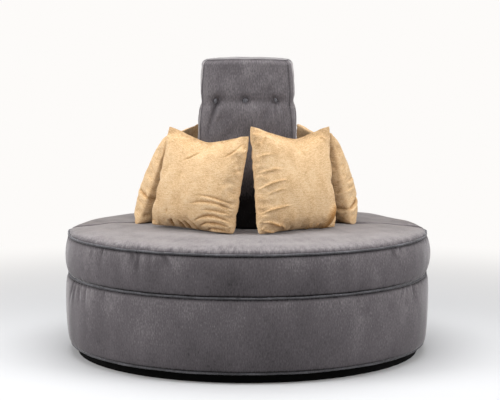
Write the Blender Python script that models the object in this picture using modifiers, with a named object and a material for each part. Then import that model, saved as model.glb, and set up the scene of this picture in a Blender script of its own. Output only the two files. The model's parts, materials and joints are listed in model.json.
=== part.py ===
"""Round sofa: two half-round seat sections, a plug-in padded column and five loose pillows.

Lengths are in metres, +Z is up and -Y is the front. The origin is on the floor under the
column. The sections meet on the line from left to right. The column's foot drops into a
square well between them, and each half, the column and every pillow can be taken away.
"""

import math
from typing import NamedTuple

import bmesh
import bpy
from mathutils import Matrix, Vector

# Clearances
TOUCH_GAP = 0.0003
SEAM_GAP = 0.0005
CUT_OVERRUN = 0.02
SLIDE_GAP = 0.0003
MERGE_DISTANCE = 0.0001

# Seat: heights above the floor and radii
SEAT_RADIUS = 0.762
WELT_RADIUS = 0.0045
TOP_WELT_HEIGHT = 0.4915
MIDDLE_WELT_HEIGHT = 0.3284
BOTTOM_WELT_HEIGHT = 0.0389
BOTTOM_WELT_INSET = 0.006
DECK_CROWN = 0.0335
DECK_RISE = 0.006
DECK_RISE_START_SHARE = 0.88
DECK_RISE_END_SHARE = 0.70
DECK_ROLL_POWER = 20
DECK_RADIUS_SHARES = (0.70, 0.76, 0.82, 0.88, 0.93, 0.96, 0.985, 1.0)
SEAM_LIP_HEIGHT = 0.007
SEAM_LIP_DEPTH = 0.001
UPPER_BAND_SWELL = 0.0185
UPPER_BAND_SHARES = (0.06, 0.22, 0.42, 0.62, 0.8, 0.94)
UPPER_BAND_POWER = 0.55
LOWER_BAND_SWELL = 0.0215
LOWER_BAND_SHARES = (0.02, 0.08, 0.22, 0.5, 0.76, 0.92, 0.98)
LOWER_BAND_POWER = 0.25
ROUND_STEPS = 60

# Timber frame and plinth
BAND_PADDING = 0.0155
PANEL_THICKNESS = 0.015
SEAT_BOARD_THICKNESS = 0.018
PLINTH_RECESS = 0.008
PLINTH_HEIGHT = 0.036
PLINTH_WALL = 0.018
DUST_COVER_THICKNESS = 0.001
RIB_ANGLES = {"left": -45.0, "middle": 0.0, "right": 45.0}

# Pegs that line the two sections up
PEG_RADIUS = 0.010
PEG_LENGTH = 0.075
PEG_TIP_LENGTH = 0.008
PEG_TIP_RADIUS = 0.005
PEG_COLLAR_RADIUS = 0.018
PEG_COLLAR_THICKNESS = 0.006
PEG_OFFSET = 0.45
PEG_HEIGHT = 0.18
BUSH_WALL = 0.004
BUSH_FLANGE = 0.006
PEG_SIDES = 16

# Column
WELL_HALF = 0.155
FOOT_CLEARANCE = 0.005
COLUMN_WALL = 0.015
COLUMN_BASE_HALF = 0.225
COLUMN_TOP_HALF = 0.187
COLUMN_HEIGHT = 1.2265
COLUMN_PAD = 0.035
COLUMN_CROWN = 0.008
COLUMN_CORNER = 0.035
COLUMN_TOP_ROLL = 0.022
COLUMN_TOP_PAD = 0.004
COLUMN_TOP_CROWN = 0.009
COLUMN_TOP_RING_SHARES = ((0.8, 0.55), (0.4, 0.95))
CORNER_ANGLES = (15.0, 30.0, 45.0)
TOP_ROLL_ANGLES = (25.0, 55.0)

# Buttons and the tuck along their row
BUTTON_DROP = 0.1715
BUTTON_PITCH = 0.118
BUTTON_SHIFT = -0.007
BUTTON_RADIUS = 0.0125
BUTTON_THICKNESS = 0.008
BUTTON_PULL = 0.012
BUTTON_PATCH = 0.014
BUTTON_SLOPE = 0.034
BUTTON_SIDES = 12
BUTTON_PROFILE_SHARES = ((0.0, 1.0), (0.55, 0.88), (1.0, 0.45), (0.85, 0.0), (0.0, 0.0))
TUCK_DEPTH = 0.006
TUCK_WIDTH = 0.020
CORNER_PINCH = 0.004
PAD_SWELL = 0.0035
SWELL_ABOVE = 0.075
SWELL_BELOW = 0.085
SWELL_WIDTH = 0.055
TUCK_ROW_STEPS = (-0.085, -0.034, -0.014, 0.014, 0.034, 0.075)
LOWER_ROW_SHARES = (0.0, 0.25, 0.5, 0.75)

# Pillows: an 18 inch cover, stuffed
PILLOW_HALF = 0.213
PILLOW_SIDE_DRAW_IN = 0.006
PILLOW_TOP_DIP = 0.044
PILLOW_FOOT_DRAW_IN = 0.014
PILLOW_FRONT_SWELL = 0.082
PILLOW_BACK_SWELL = 0.070
PILLOW_NOTCH_ROUND_SHARE = 0.10
PILLOW_SEAM = 0.005
PILLOW_EAR_SHARE = 0.03
PILLOW_EAR_POWER = 8
PILLOW_BELLY_SHARE = 0.16
PILLOW_FULLNESS = 0.45
PILLOW_CELLS = 14
PILLOW_SETTLE = 0.012
PILLOW_FLATTEN = 0.012
PILLOW_SINK = 0.012
COLUMN_STANDOFF = 0.002
UPRIGHT_TOP_REACH = 0.298
UPRIGHT_FOOT_REACH = 0.352
UPRIGHT_BOW = 0.030
SLUMPED_TOP_REACH = 0.306
SLUMPED_FOOT_REACH = 0.415
SLUMPED_BOW = 0.026
FLOPPED_TOP_REACH = 0.276
FLOPPED_FOOT_REACH = 0.440
FLOPPED_BOW = 0.006


class Stance(NamedTuple):
    """How far out a pillow's top and foot rest, and how far its top bows in to the column."""

    top_reach: float
    foot_reach: float
    bow: float


class Pillow(NamedTuple):
    """Where a pillow stands and how it has been plumped.

    Its angles are in degrees: where it stands round from the front to the right, and how far it is
    turned and rolled from there. Its shares say how much broader its foot is than its middle, how
    far its top slants aside, how tall it is for its breadth, how full its front is, how deep its
    top edge is chopped, and where along the edge.
    """

    stance: Stance
    stand: float
    yaw: float
    roll: float
    spread_share: float
    slant_share: float
    tall_share: float
    swell_share: float
    dip_share: float
    notch_share: float


UPRIGHT = Stance(UPRIGHT_TOP_REACH, UPRIGHT_FOOT_REACH, UPRIGHT_BOW)
SLUMPED = Stance(SLUMPED_TOP_REACH, SLUMPED_FOOT_REACH, SLUMPED_BOW)
FLOPPED = Stance(FLOPPED_TOP_REACH, FLOPPED_FOOT_REACH, FLOPPED_BOW)
PILLOWS = {
    "front_left_pillow": Pillow(UPRIGHT, -36.2, 0.0, 4.0, 0.01, 0.062, 1.005, 1.0, 1.05, -0.02),
    "front_right_pillow": Pillow(UPRIGHT, 35.1, 6.0, 1.5, 0.0, -0.024, 1.05, 1.0, 1.15, 0.14),
    "left_pillow": Pillow(FLOPPED, -108.0, 0.0, 5.0, 0.04, 0.0, 1.05, 0.86, 0.2, 0.0),
    "right_pillow": Pillow(SLUMPED, 108.0, 0.0, -3.0, 0.04, 0.0, 1.02, 1.0, 0.4, 0.0),
    "back_pillow": Pillow(UPRIGHT, 180.0, 0.0, 0.0, 0.03, 0.0, 1.02, 1.0, 0.9, 0.06),
}

# Sizes that follow from the ones above
WELT_RING = SEAT_RADIUS - WELT_RADIUS
GROOVE_RADIUS = WELT_RING - WELT_RADIUS - TOUCH_GAP + SEAM_LIP_DEPTH
BOTTOM_GROOVE_RADIUS = GROOVE_RADIUS - BOTTOM_WELT_INSET
FRAME_RADIUS = BOTTOM_GROOVE_RADIUS - BAND_PADDING
PLINTH_RADIUS = FRAME_RADIUS - PLINTH_RECESS
DECK_HEIGHT = TOP_WELT_HEIGHT + DECK_CROWN
BASE_BOARD_BOTTOM = PLINTH_HEIGHT + TOUCH_GAP
BASE_BOARD_TOP = BASE_BOARD_BOTTOM + PANEL_THICKNESS
FRAME_BOTTOM = BASE_BOARD_TOP + TOUCH_GAP
SEAT_BOARD_TOP = MIDDLE_WELT_HEIGHT
SEAT_BOARD_BOTTOM = SEAT_BOARD_TOP - SEAT_BOARD_THICKNESS
FRAME_TOP = SEAT_BOARD_BOTTOM - TOUCH_GAP
CUSHION_BOTTOM = SEAT_BOARD_TOP + TOUCH_GAP
LOWER_BAND_TOP = MIDDLE_WELT_HEIGHT - TOUCH_GAP
FOOT_HALF = WELL_HALF - FOOT_CLEARANCE
COLUMN_FOOT_BOTTOM = BASE_BOARD_TOP + TOUCH_GAP
COLUMN_BASE = DECK_HEIGHT + DECK_RISE + SEAM_GAP
COLUMN_BOARD_TOP = COLUMN_BASE + SEAT_BOARD_THICKNESS
BUTTON_HEIGHT = COLUMN_HEIGHT - BUTTON_DROP
BUTTON_PLACES = {
    "left": BUTTON_SHIFT - BUTTON_PITCH,
    "middle": BUTTON_SHIFT,
    "right": BUTTON_SHIFT + BUTTON_PITCH,
}
COLUMN_FACES = ("front", "right", "back", "left")
PEG_PLACES = {"left": -PEG_OFFSET, "right": PEG_OFFSET}


def clear_scene():
    for item in list(bpy.data.objects):
        bpy.data.objects.remove(item)


def new_collection(name):
    made = bpy.data.collections.new(name)
    bpy.context.scene.collection.children.link(made)
    return made


def material(name, colour, roughness, metallic=0.0):
    made = bpy.data.materials.new(name)
    made.use_nodes = True
    shader = made.node_tree.nodes["Principled BSDF"]
    shader.inputs["Base Color"].default_value = (*colour, 1.0)
    shader.inputs["Roughness"].default_value = roughness
    shader.inputs["Metallic"].default_value = metallic
    return made


clear_scene()
SOFA = new_collection("round_sofa")
CUTTERS = new_collection("cutters")
VELVET = material("grey_velvet", (0.16, 0.145, 0.15), 0.85)
WELT_VELVET = material("grey_velvet_welt", (0.2, 0.185, 0.19), 0.8)
TAN_CLOTH = material("tan_cloth", (0.78, 0.57, 0.33), 0.9)
PLYWOOD = material("birch_plywood", (0.62, 0.46, 0.28), 0.6)
BLACK_PAINT = material("black_paint", (0.01, 0.01, 0.011), 0.5)
LINING = material("black_lining", (0.02, 0.02, 0.02), 0.9)
ZINC = material("zinc_plated_steel", (0.62, 0.63, 0.65), 0.35, 1.0)
NYLON = material("black_nylon", (0.03, 0.03, 0.03), 0.45)


def add_object(name, mesh, finish, parent=None):
    made = bpy.data.objects.new(name, mesh)
    made.data.materials.append(finish)
    made.parent = parent
    SOFA.objects.link(made)
    return made


def add_cutter(name, mesh):
    made = bpy.data.objects.new(name, mesh)
    made.hide_render = True
    made.display_type = "WIRE"
    CUTTERS.objects.link(made)
    return made


def add_empty(name):
    made = bpy.data.objects.new(name, None)
    SOFA.objects.link(made)
    return made


def mesh_from(name, bm):
    bmesh.ops.recalc_face_normals(bm, faces=bm.faces)
    mesh = bpy.data.meshes.new(name)
    bm.to_mesh(mesh)
    bm.free()
    return mesh


def box_mesh(name, low, high):
    bm = bmesh.new()
    bmesh.ops.create_cube(bm, size=1.0)
    low, high = Vector(low), Vector(high)
    bmesh.ops.scale(bm, vec=high - low, verts=bm.verts)
    bmesh.ops.translate(bm, vec=(low + high) / 2, verts=bm.verts)
    return mesh_from(name, bm)


def disc_mesh(name, radius, bottom, top):
    """A round board whose flats, not corners, cross the line where the sections meet."""
    bm = bmesh.new()
    turn = Matrix.Rotation(math.pi / ROUND_STEPS, 4, "Z")
    bmesh.ops.create_cone(
        bm,
        cap_ends=True,
        segments=ROUND_STEPS,
        radius1=radius,
        radius2=radius,
        depth=top - bottom,
        matrix=Matrix.Translation((0, 0, (bottom + top) / 2)) @ turn,
    )
    return mesh_from(name, bm)


def frustum_mesh(name, low_half, high_half, bottom, top):
    """A square tapered block, its sides square to X and Y."""
    bm = bmesh.new()
    place = Matrix.Translation((0, 0, (bottom + top) / 2)) @ Matrix.Rotation(math.pi / 4, 4, "Z")
    bmesh.ops.create_cone(
        bm,
        cap_ends=True,
        segments=4,
        radius1=low_half * math.sqrt(2),
        radius2=high_half * math.sqrt(2),
        depth=top - bottom,
        matrix=place,
    )
    return mesh_from(name, bm)


def profile_mesh(name, points):
    """A closed outline in the XZ plane, to be turned about Z by a Screw."""
    mesh = bpy.data.meshes.new(name)
    count = len(points)
    edges = [(i, (i + 1) % count) for i in range(count)]
    mesh.from_pydata([(r, 0, z) for r, z in points], edges, [])
    return mesh


def turn(item, steps):
    screw = item.modifiers.new("turn", "SCREW")
    screw.steps = steps
    screw.render_steps = steps
    screw.use_merge_vertices = True
    screw.merge_threshold = MERGE_DISTANCE
    screw.use_smooth_shade = False


def cut(item, cutter):
    boolean = item.modifiers.new(cutter.name, "BOOLEAN")
    boolean.operation = "DIFFERENCE"
    boolean.solver = "EXACT"
    boolean.object = cutter


def side_cutter(name, side, inset):
    """Everything on the far side of the joint line, with this much of the near side."""
    reach = SEAT_RADIUS + CUT_OVERRUN
    top = COLUMN_HEIGHT + CUT_OVERRUN
    low_y, high_y = (-inset, reach) if side < 0 else (-reach, inset)
    return add_cutter(name, box_mesh(name, (-reach, low_y, -CUT_OVERRUN), (reach, high_y, top)))


def well_cutter(name, half, bottom, top):
    return add_cutter(name, box_mesh(name, (-half, -half, bottom), (half, half, top)))


def deck_height(radius):
    """Height of the deck cover: flat, with a slight rise at the centre and a rolled edge."""
    share = min(radius / GROOVE_RADIUS, 1.0)
    span = DECK_RISE_START_SHARE - DECK_RISE_END_SHARE
    climb = min(max((DECK_RISE_START_SHARE - share) / span, 0.0), 1.0)
    rise = DECK_RISE * climb * climb * (3 - 2 * climb)
    drop = DECK_HEIGHT - (TOP_WELT_HEIGHT + SEAM_LIP_HEIGHT)
    return DECK_HEIGHT + rise - drop * share**DECK_ROLL_POWER


def seat_cushion_profile():
    inner = WELL_HALF / 2
    points = [(inner, deck_height(inner))]
    points += [(GROOVE_RADIUS * s, deck_height(GROOVE_RADIUS * s)) for s in DECK_RADIUS_SHARES]
    points.append((GROOVE_RADIUS - SEAM_LIP_DEPTH, TOP_WELT_HEIGHT))
    top = TOP_WELT_HEIGHT - SEAM_LIP_HEIGHT
    bottom = MIDDLE_WELT_HEIGHT + SEAM_LIP_HEIGHT
    points.append((GROOVE_RADIUS, top))
    for share in UPPER_BAND_SHARES:
        swell = UPPER_BAND_SWELL * math.sin(math.pi * share) ** UPPER_BAND_POWER
        points.append((GROOVE_RADIUS + swell, top + (bottom - top) * share))
    points.append((GROOVE_RADIUS, bottom))
    points.append((GROOVE_RADIUS - SEAM_LIP_DEPTH, CUSHION_BOTTOM))
    points.append((inner, CUSHION_BOTTOM))
    return points


def lower_band_profile():
    inner = FRAME_RADIUS + TOUCH_GAP
    top = MIDDLE_WELT_HEIGHT - SEAM_LIP_HEIGHT
    bottom = BOTTOM_WELT_HEIGHT + SEAM_LIP_HEIGHT
    points = [(inner, LOWER_BAND_TOP), (GROOVE_RADIUS - SEAM_LIP_DEPTH, LOWER_BAND_TOP)]
    points.append((GROOVE_RADIUS, top))
    for share in LOWER_BAND_SHARES:
        line = GROOVE_RADIUS + (BOTTOM_GROOVE_RADIUS - GROOVE_RADIUS) * share
        swell = LOWER_BAND_SWELL * math.sin(math.pi * share) ** LOWER_BAND_POWER
        points.append((line + swell, top + (bottom - top) * share))
    points.append((BOTTOM_GROOVE_RADIUS, bottom))
    points.append((BOTTOM_GROOVE_RADIUS - SEAM_LIP_DEPTH, BOTTOM_WELT_HEIGHT))
    points.append((BOTTOM_GROOVE_RADIUS, BOTTOM_WELT_HEIGHT - WELT_RADIUS))
    points.append((inner, BOTTOM_WELT_HEIGHT - WELT_RADIUS))
    return points


def turned(name, profile, finish, parent, cutters):
    item = add_object(name, profile_mesh(name, profile), finish, parent)
    item.rotation_euler.z = math.pi / ROUND_STEPS
    turn(item, ROUND_STEPS)
    for cutter in cutters:
        cut(item, cutter)


def board(name, radius, bottom, top, finish, parent, cutters):
    item = add_object(name, disc_mesh(name, radius, bottom, top), finish, parent)
    for cutter in cutters:
        cut(item, cutter)
    return item


def welt(name, ring_radius, height, side, parent):
    """Piping bent round half the seat, its points on the same facets as the cushion."""
    step = 2 * math.pi / ROUND_STEPS
    flat = ring_radius * math.cos(step / 2)
    stop = side * SEAM_GAP
    half_steps = ROUND_STEPS // 2
    points = [(-flat, stop)]
    for i in range(half_steps):
        angle = math.pi - side * (i + 0.5) * step
        points.append((ring_radius * math.cos(angle), ring_radius * math.sin(angle)))
    points.append((flat, stop))
    curve = bpy.data.curves.new(name, "CURVE")
    curve.dimensions = "3D"
    spline = curve.splines.new("POLY")
    spline.points.add(len(points) - 1)
    for point, (x, y) in zip(spline.points, points):
        point.co = (x, y, height, 1.0)
    curve.bevel_depth = WELT_RADIUS
    curve.bevel_resolution = 1
    curve.use_fill_caps = True
    return add_object(name, curve, WELT_VELVET, parent)


def pin_cutter(name, radius, x, reach):
    """A round hole along Y on the peg's line, this far to either side of the joint line."""
    bm = bmesh.new()
    place = Matrix.Translation((x, 0, PEG_HEIGHT)) @ Matrix.Rotation(math.pi / 2, 4, "X")
    bmesh.ops.create_cone(
        bm,
        cap_ends=True,
        segments=PEG_SIDES,
        radius1=radius,
        radius2=radius,
        depth=2 * reach,
        matrix=place,
    )
    return add_cutter(name, mesh_from(name, bm))


def frame_shell(name, side, parent):
    """Upright plywood wall all round one section, with the walls of the square well."""
    wall = PANEL_THICKNESS
    item = add_object(name, disc_mesh(name, FRAME_RADIUS, FRAME_BOTTOM, FRAME_TOP), PLYWOOD, parent)
    cut(item, side_cutter(f"{name}_joint_face", side, SEAM_GAP))
    low, high = FRAME_BOTTOM - CUT_OVERRUN, FRAME_TOP + CUT_OVERRUN
    hollow_name = f"{name}_hollow"
    hollow = add_cutter(hollow_name, disc_mesh(hollow_name, FRAME_RADIUS - wall, low, high))
    cut(hollow, side_cutter(f"{name}_hollow_face", side, SEAM_GAP + wall))
    wall_low, wall_high = low - CUT_OVERRUN, high + CUT_OVERRUN
    cut(hollow, well_cutter(f"{name}_well_wall", WELL_HALF + wall, wall_low, wall_high))
    cut(item, hollow)
    cut(item, well_cutter(f"{name}_well", WELL_HALF, low, high))
    hole = PEG_RADIUS + TOUCH_GAP
    if side > 0:
        hole += SLIDE_GAP + BUSH_WALL
    for place, x in PEG_PLACES.items():
        cut(item, pin_cutter(f"{name}_{place}_hole", hole, x, SEAM_GAP + wall + CUT_OVERRUN))
    return item


def rib(name, angle, side, parent):
    """A plywood web from the well to the curved wall, under the seat board."""
    direction = math.radians(angle)
    well_edge = (WELL_HALF + PANEL_THICKNESS) / max(math.cos(direction), abs(math.sin(direction)))
    start = well_edge + TOUCH_GAP + PANEL_THICKNESS / 2 * abs(math.tan(direction))
    end = (FRAME_RADIUS - PANEL_THICKNESS) * math.cos(math.pi / ROUND_STEPS) - SEAM_GAP
    half = PANEL_THICKNESS / 2
    low = (-half, -end, BASE_BOARD_TOP + TOUCH_GAP)
    high = (half, -start, FRAME_TOP)
    item = add_object(name, box_mesh(name, low, high), PLYWOOD, parent)
    item.rotation_euler.z = direction if side < 0 else math.pi - direction
    return item


def peg(name, x, parent):
    """A steel peg: collar inside the front section, a shank through both walls, a short taper."""
    collar_face = -(SEAM_GAP + PANEL_THICKNESS + TOUCH_GAP)
    end = collar_face + PEG_LENGTH
    profile = [
        (0, collar_face - PEG_COLLAR_THICKNESS),
        (PEG_COLLAR_RADIUS, collar_face - PEG_COLLAR_THICKNESS),
        (PEG_COLLAR_RADIUS, collar_face),
        (PEG_RADIUS, collar_face),
        (PEG_RADIUS, end - PEG_TIP_LENGTH),
        (PEG_TIP_RADIUS, end),
        (0, end),
    ]
    return turned_along_y(name, profile, x, ZINC, parent)


def bush(name, x, parent):
    """A nylon bush in the back section's wall, its flange on the inner side."""
    bore = PEG_RADIUS + SLIDE_GAP
    sleeve = bore + BUSH_WALL
    face = SEAM_GAP
    inner = SEAM_GAP + PANEL_THICKNESS + TOUCH_GAP
    profile = [
        (bore, face),
        (sleeve, face),
        (sleeve, inner),
        (sleeve + BUSH_FLANGE, inner),
        (sleeve + BUSH_FLANGE, inner + BUSH_WALL),
        (bore, inner + BUSH_WALL),
    ]
    return turned_along_y(name, profile, x, NYLON, parent, closed=True)


def turned_along_y(name, profile, x, finish, parent, closed=False):
    """Turns (radius, distance along +Y) about the peg's line."""
    mesh = bpy.data.meshes.new(name)
    points = [(radius, 0, along) for radius, along in reversed(profile)]
    edges = [(i, i + 1) for i in range(len(points) - 1)]
    if closed:
        edges.append((len(points) - 1, 0))
    mesh.from_pydata(points, edges, [])
    item = add_object(name, mesh, finish, parent)
    item.location = (x, 0, PEG_HEIGHT)
    item.rotation_euler = (-math.pi / 2, math.pi / PEG_SIDES, 0)
    turn(item, PEG_SIDES)
    return item


def column_line(height):
    """Half width of the column before its padding swells and tucks."""
    share = (height - COLUMN_BASE) / (COLUMN_HEIGHT - COLUMN_BASE)
    return COLUMN_BASE_HALF + (COLUMN_TOP_HALF - COLUMN_BASE_HALF) * share


def column_half(height):
    """Half width of the padded column at a height, at the middle of a face."""
    above = (height - BUTTON_HEIGHT - SWELL_ABOVE) / SWELL_WIDTH
    below = (height - BUTTON_HEIGHT + SWELL_BELOW) / SWELL_WIDTH
    pinch = (height - BUTTON_HEIGHT) / TUCK_WIDTH
    swell = PAD_SWELL * (math.exp(-above * above) + math.exp(-below * below))
    return column_line(height) + swell - CORNER_PINCH * math.exp(-pinch * pinch)


def tuck_depth(x, height):
    """How far the cover is drawn in: a groove along the row, deeper at each button."""
    rise = height - BUTTON_HEIGHT
    groove = TUCK_DEPTH * math.exp(-((rise / TUCK_WIDTH) ** 2))
    pull = 0.0
    for place in BUTTON_PLACES.values():
        away = max(abs(x - place), abs(rise))
        slope = (away - BUTTON_PATCH) / (BUTTON_SLOPE - BUTTON_PATCH)
        share = 1.0 - min(max(slope, 0.0), 1.0)
        bottom = TUCK_DEPTH if away <= BUTTON_PATCH + TOUCH_GAP else 0.0
        pull = max(pull, share * BUTTON_PULL + max(bottom - groove, 0.0))
    return groove + pull


def face_edge(height):
    """Half width of a face's flat part, where its corners start to turn."""
    return column_half(height) - COLUMN_CROWN - COLUMN_CORNER


def pad_places():
    """Places across a face: its edges, and the patch and slopes of each button."""
    places = [-face_edge(BUTTON_HEIGHT), face_edge(BUTTON_HEIGHT)]
    for place in BUTTON_PLACES.values():
        places += [place - BUTTON_PATCH, place + BUTTON_PATCH]
    for place in (BUTTON_PLACES["left"], BUTTON_PLACES["middle"]):
        places += [place + BUTTON_SLOPE, place + BUTTON_PITCH - BUTTON_SLOPE]
    return sorted(places)


def face_point(place, height, inset):
    """A point on the flat part of the front face's cover, crowned and drawn in by its buttons."""
    edge = face_edge(BUTTON_HEIGHT)
    x = place
    if abs(place) > BUTTON_PITCH + abs(BUTTON_SHIFT) + BUTTON_PATCH:
        x = place * (face_edge(height) - inset) / edge
    crown = COLUMN_CROWN * min((place / edge) ** 2, 1.0)
    depth = column_half(height) - inset - crown - tuck_depth(place, height)
    return Vector((x, -depth, height))


def corner_point(degrees, height, inset):
    """A point of the front face's rounded corner, to its mitre; negative degrees are the left."""
    angle = math.radians(abs(degrees))
    centre = face_edge(height) - inset
    x = centre + COLUMN_CORNER * math.sin(angle)
    if abs(degrees) == CORNER_ANGLES[-1]:
        x -= TOUCH_GAP
    return Vector((math.copysign(x, degrees), -(centre + COLUMN_CORNER * math.cos(angle)), height))


def pad_rows():
    """(height, inset) of each row of the cover, from the deck to the rolled top edge."""
    low = COLUMN_BASE
    first = BUTTON_HEIGHT + TUCK_ROW_STEPS[0]
    rows = [(low + (first - low) * share, 0.0) for share in LOWER_ROW_SHARES]
    rows += [(BUTTON_HEIGHT + step, 0.0) for step in TUCK_ROW_STEPS]
    roll_start = COLUMN_HEIGHT - COLUMN_TOP_ROLL
    rows.append((roll_start, 0.0))
    for angle in TOP_ROLL_ANGLES:
        turned = math.radians(angle)
        inset = COLUMN_TOP_ROLL * (1 - math.cos(turned))
        rows.append((roll_start + COLUMN_TOP_ROLL * math.sin(turned), inset))
    return rows


def column_pad_mesh(name):
    """One face's padded cover: a tufted outer sheet, mitred sides and a flat back on the core."""
    bm = bmesh.new()
    rows = pad_rows()
    grid = []
    for height, inset in rows:
        line = [corner_point(-angle, height, inset) for angle in reversed(CORNER_ANGLES)]
        line += [face_point(place, height, inset) for place in pad_places()]
        line += [corner_point(angle, height, inset) for angle in CORNER_ANGLES]
        grid.append([bm.verts.new(point) for point in line])
    for low, high in zip(grid, grid[1:]):
        for i in range(len(low) - 1):
            bm.faces.new((low[i], low[i + 1], high[i + 1], high[i]))
    backs = []
    for height, _ in (rows[0], rows[-1]):
        half = column_line(height) - COLUMN_PAD
        backs.append([bm.verts.new((side * half, -half - TOUCH_GAP, height)) for side in (-1, 1)])
    (low_left, low_right), (high_left, high_right) = backs
    bm.faces.new((low_left, high_left, high_right, low_right))
    bm.faces.new((low_left, low_right, *reversed(grid[0])))
    bm.faces.new((high_right, high_left, *grid[-1]))
    bm.faces.new((high_left, low_left, *[line[0] for line in grid]))
    bm.faces.new((low_right, high_right, *[line[-1] for line in reversed(grid)]))
    return mesh_from(name, bm)


def rounded_square(half, corner, steps):
    """Points round a square with rounded corners, anticlockwise from the right."""
    points = []
    for quarter in range(4):
        for i in range(steps + 1):
            angle = math.pi / 2 * (quarter + i / steps)
            middle = math.pi / 4 + math.pi / 2 * quarter
            x = math.copysign(half - corner, math.cos(middle)) + corner * math.cos(angle)
            y = math.copysign(half - corner, math.sin(middle)) + corner * math.sin(angle)
            points.append((x, y))
    return points


def column_top_mesh(name):
    """The square pad over the top, crowned, with its edge sewn to the four faces."""
    height, inset = pad_rows()[-1]
    bottom = height + TOUCH_GAP
    rim = bottom + COLUMN_TOP_PAD
    outline = rounded_square(face_edge(height) - inset + COLUMN_CORNER, COLUMN_CORNER, len(CORNER_ANGLES))
    rings = [(1.0, bottom), (1.0, rim)]
    rings += [(share, rim + COLUMN_TOP_CROWN * rise) for share, rise in COLUMN_TOP_RING_SHARES]
    bm = bmesh.new()
    loops = [[bm.verts.new((x * share, y * share, z)) for x, y in outline] for share, z in rings]
    for low, high in zip(loops, loops[1:]):
        for i in range(len(outline)):
            j = (i + 1) % len(outline)
            bm.faces.new((low[i], low[j], high[j], high[i]))
    bm.faces.new(list(reversed(loops[0])))
    peak = bm.verts.new((0, 0, rim + COLUMN_TOP_CROWN))
    for i in range(len(outline)):
        bm.faces.new((loops[-1][i], loops[-1][(i + 1) % len(outline)], peak))
    return mesh_from(name, bm)


def button_mesh(name):
    """A covered button: a domed front and a small back edge, along +Z."""
    profile = [(r * BUTTON_RADIUS, 0, z * BUTTON_THICKNESS) for r, z in BUTTON_PROFILE_SHARES]
    mesh = bpy.data.meshes.new(name)
    edges = [(i, i + 1) for i in range(len(profile) - 1)]
    mesh.from_pydata(profile, edges, [])
    return mesh


def button_seat(x):
    """Where a button sits on the front face, square to the flat patch that its thread draws in."""
    steps = (-BUTTON_PATCH, BUTTON_PATCH)
    low, high = (
        [face_point(x + step, BUTTON_HEIGHT + rise, 0.0) for step in steps] for rise in steps
    )
    centre = sum((*low, *high), Vector()) / 4
    across = low[1] + high[1] - low[0] - high[0]
    upward = high[0] + high[1] - low[0] - low[1]
    facing = across.cross(upward).to_track_quat("Z", "Y").to_matrix().to_4x4()
    return Matrix.Translation(centre) @ facing @ Matrix.Translation((0, 0, SEAM_GAP))


def add_column(parent):
    """The foot that plugs into the well, the timber core and the padded cover round it."""
    foot_top = COLUMN_BASE - TOUCH_GAP
    foot_low = (-FOOT_HALF, -FOOT_HALF, COLUMN_FOOT_BOTTOM)
    foot_mesh = box_mesh("column_foot", foot_low, (FOOT_HALF, FOOT_HALF, foot_top))
    foot = add_object("column_foot", foot_mesh, PLYWOOD, parent)
    inner = FOOT_HALF - COLUMN_WALL
    hollow_low = COLUMN_FOOT_BOTTOM - CUT_OVERRUN
    cut(foot, well_cutter("column_foot_hollow", inner, hollow_low, foot_top - COLUMN_WALL))
    half = column_line(COLUMN_BOARD_TOP) - COLUMN_PAD
    board = box_mesh("column_base_board", (-half, -half, COLUMN_BASE), (half, half, COLUMN_BOARD_TOP))
    add_object("column_base_board", board, PLYWOOD, parent)
    bottom = COLUMN_BOARD_TOP + TOUCH_GAP
    top = pad_rows()[-1][0]
    low_half, high_half = (column_line(height) - COLUMN_PAD for height in (bottom, top))
    core_mesh = frustum_mesh("column_core", low_half, high_half, bottom, top)
    core = add_object("column_core", core_mesh, PLYWOOD, parent)
    wall = COLUMN_WALL
    ends = (low_half - wall, high_half - wall, bottom - wall, top - wall)
    cut(core, add_cutter("column_hollow", frustum_mesh("column_hollow", *ends)))
    add_object("column_top_pad", column_top_mesh("column_top_pad"), VELVET, parent)
    pad = column_pad_mesh("column_pad")
    button = button_mesh("button")
    for number, face in enumerate(COLUMN_FACES):
        spin = Matrix.Rotation(number * math.pi / 2, 4, "Z")
        sheet = add_object(f"column_{face}_pad", pad, VELVET, parent)
        sheet.matrix_local = spin
        for place, x in BUTTON_PLACES.items():
            item = add_object(f"{face}_{place}_button", button, VELVET, parent)
            item.matrix_local = spin @ button_seat(x)
            turn(item, BUTTON_SIDES)


def eased(distance, settle):
    """Presses a distance smoothly towards nothing, so a soft form rests without crossing."""
    if distance >= settle:
        return distance
    return settle * math.exp((distance - settle) / settle)


def chopped(u, notch_share):
    """How much of the full dip the chop in a pillow's top edge has at a place across it.

    The edge rises nearly straight from the notch to the ear on each side.
    """
    aside = abs(u - notch_share) / (1.0 - math.copysign(notch_share, u - notch_share))
    soft = PILLOW_NOTCH_ROUND_SHARE
    return 1.0 - (math.hypot(aside, soft) - soft) / (math.hypot(1.0, soft) - soft)


def pillow_point(u, v, side, pillow):
    """A point of the unplaced pillow: x across, -y out of its front, z up, centre at the origin."""
    x = u * (PILLOW_HALF - PILLOW_SIDE_DRAW_IN * (1 - v * v)) * (1.0 - pillow.spread_share * v)
    x += PILLOW_HALF * pillow.slant_share * v
    if v > 0:
        z = v * (PILLOW_HALF - PILLOW_TOP_DIP * pillow.dip_share * chopped(u, pillow.notch_share))
    else:
        z = v * (PILLOW_HALF - PILLOW_FOOT_DRAW_IN * (1 - u * u))
    swell = PILLOW_FRONT_SWELL * pillow.swell_share if side < 0 else PILLOW_BACK_SWELL
    swell *= ((1 - u * u) * (1 - v * v)) ** PILLOW_FULLNESS * (1.0 - PILLOW_BELLY_SHARE * v)
    bow = pillow.stance.bow * (1 - u * u) * (1 + v) / 2
    blunt = 1.0 - PILLOW_EAR_SHARE * abs(u * v) ** PILLOW_EAR_POWER
    return Vector((x * blunt, bow + side * (PILLOW_SEAM / 2 + swell), z * blunt * pillow.tall_share))


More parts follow.
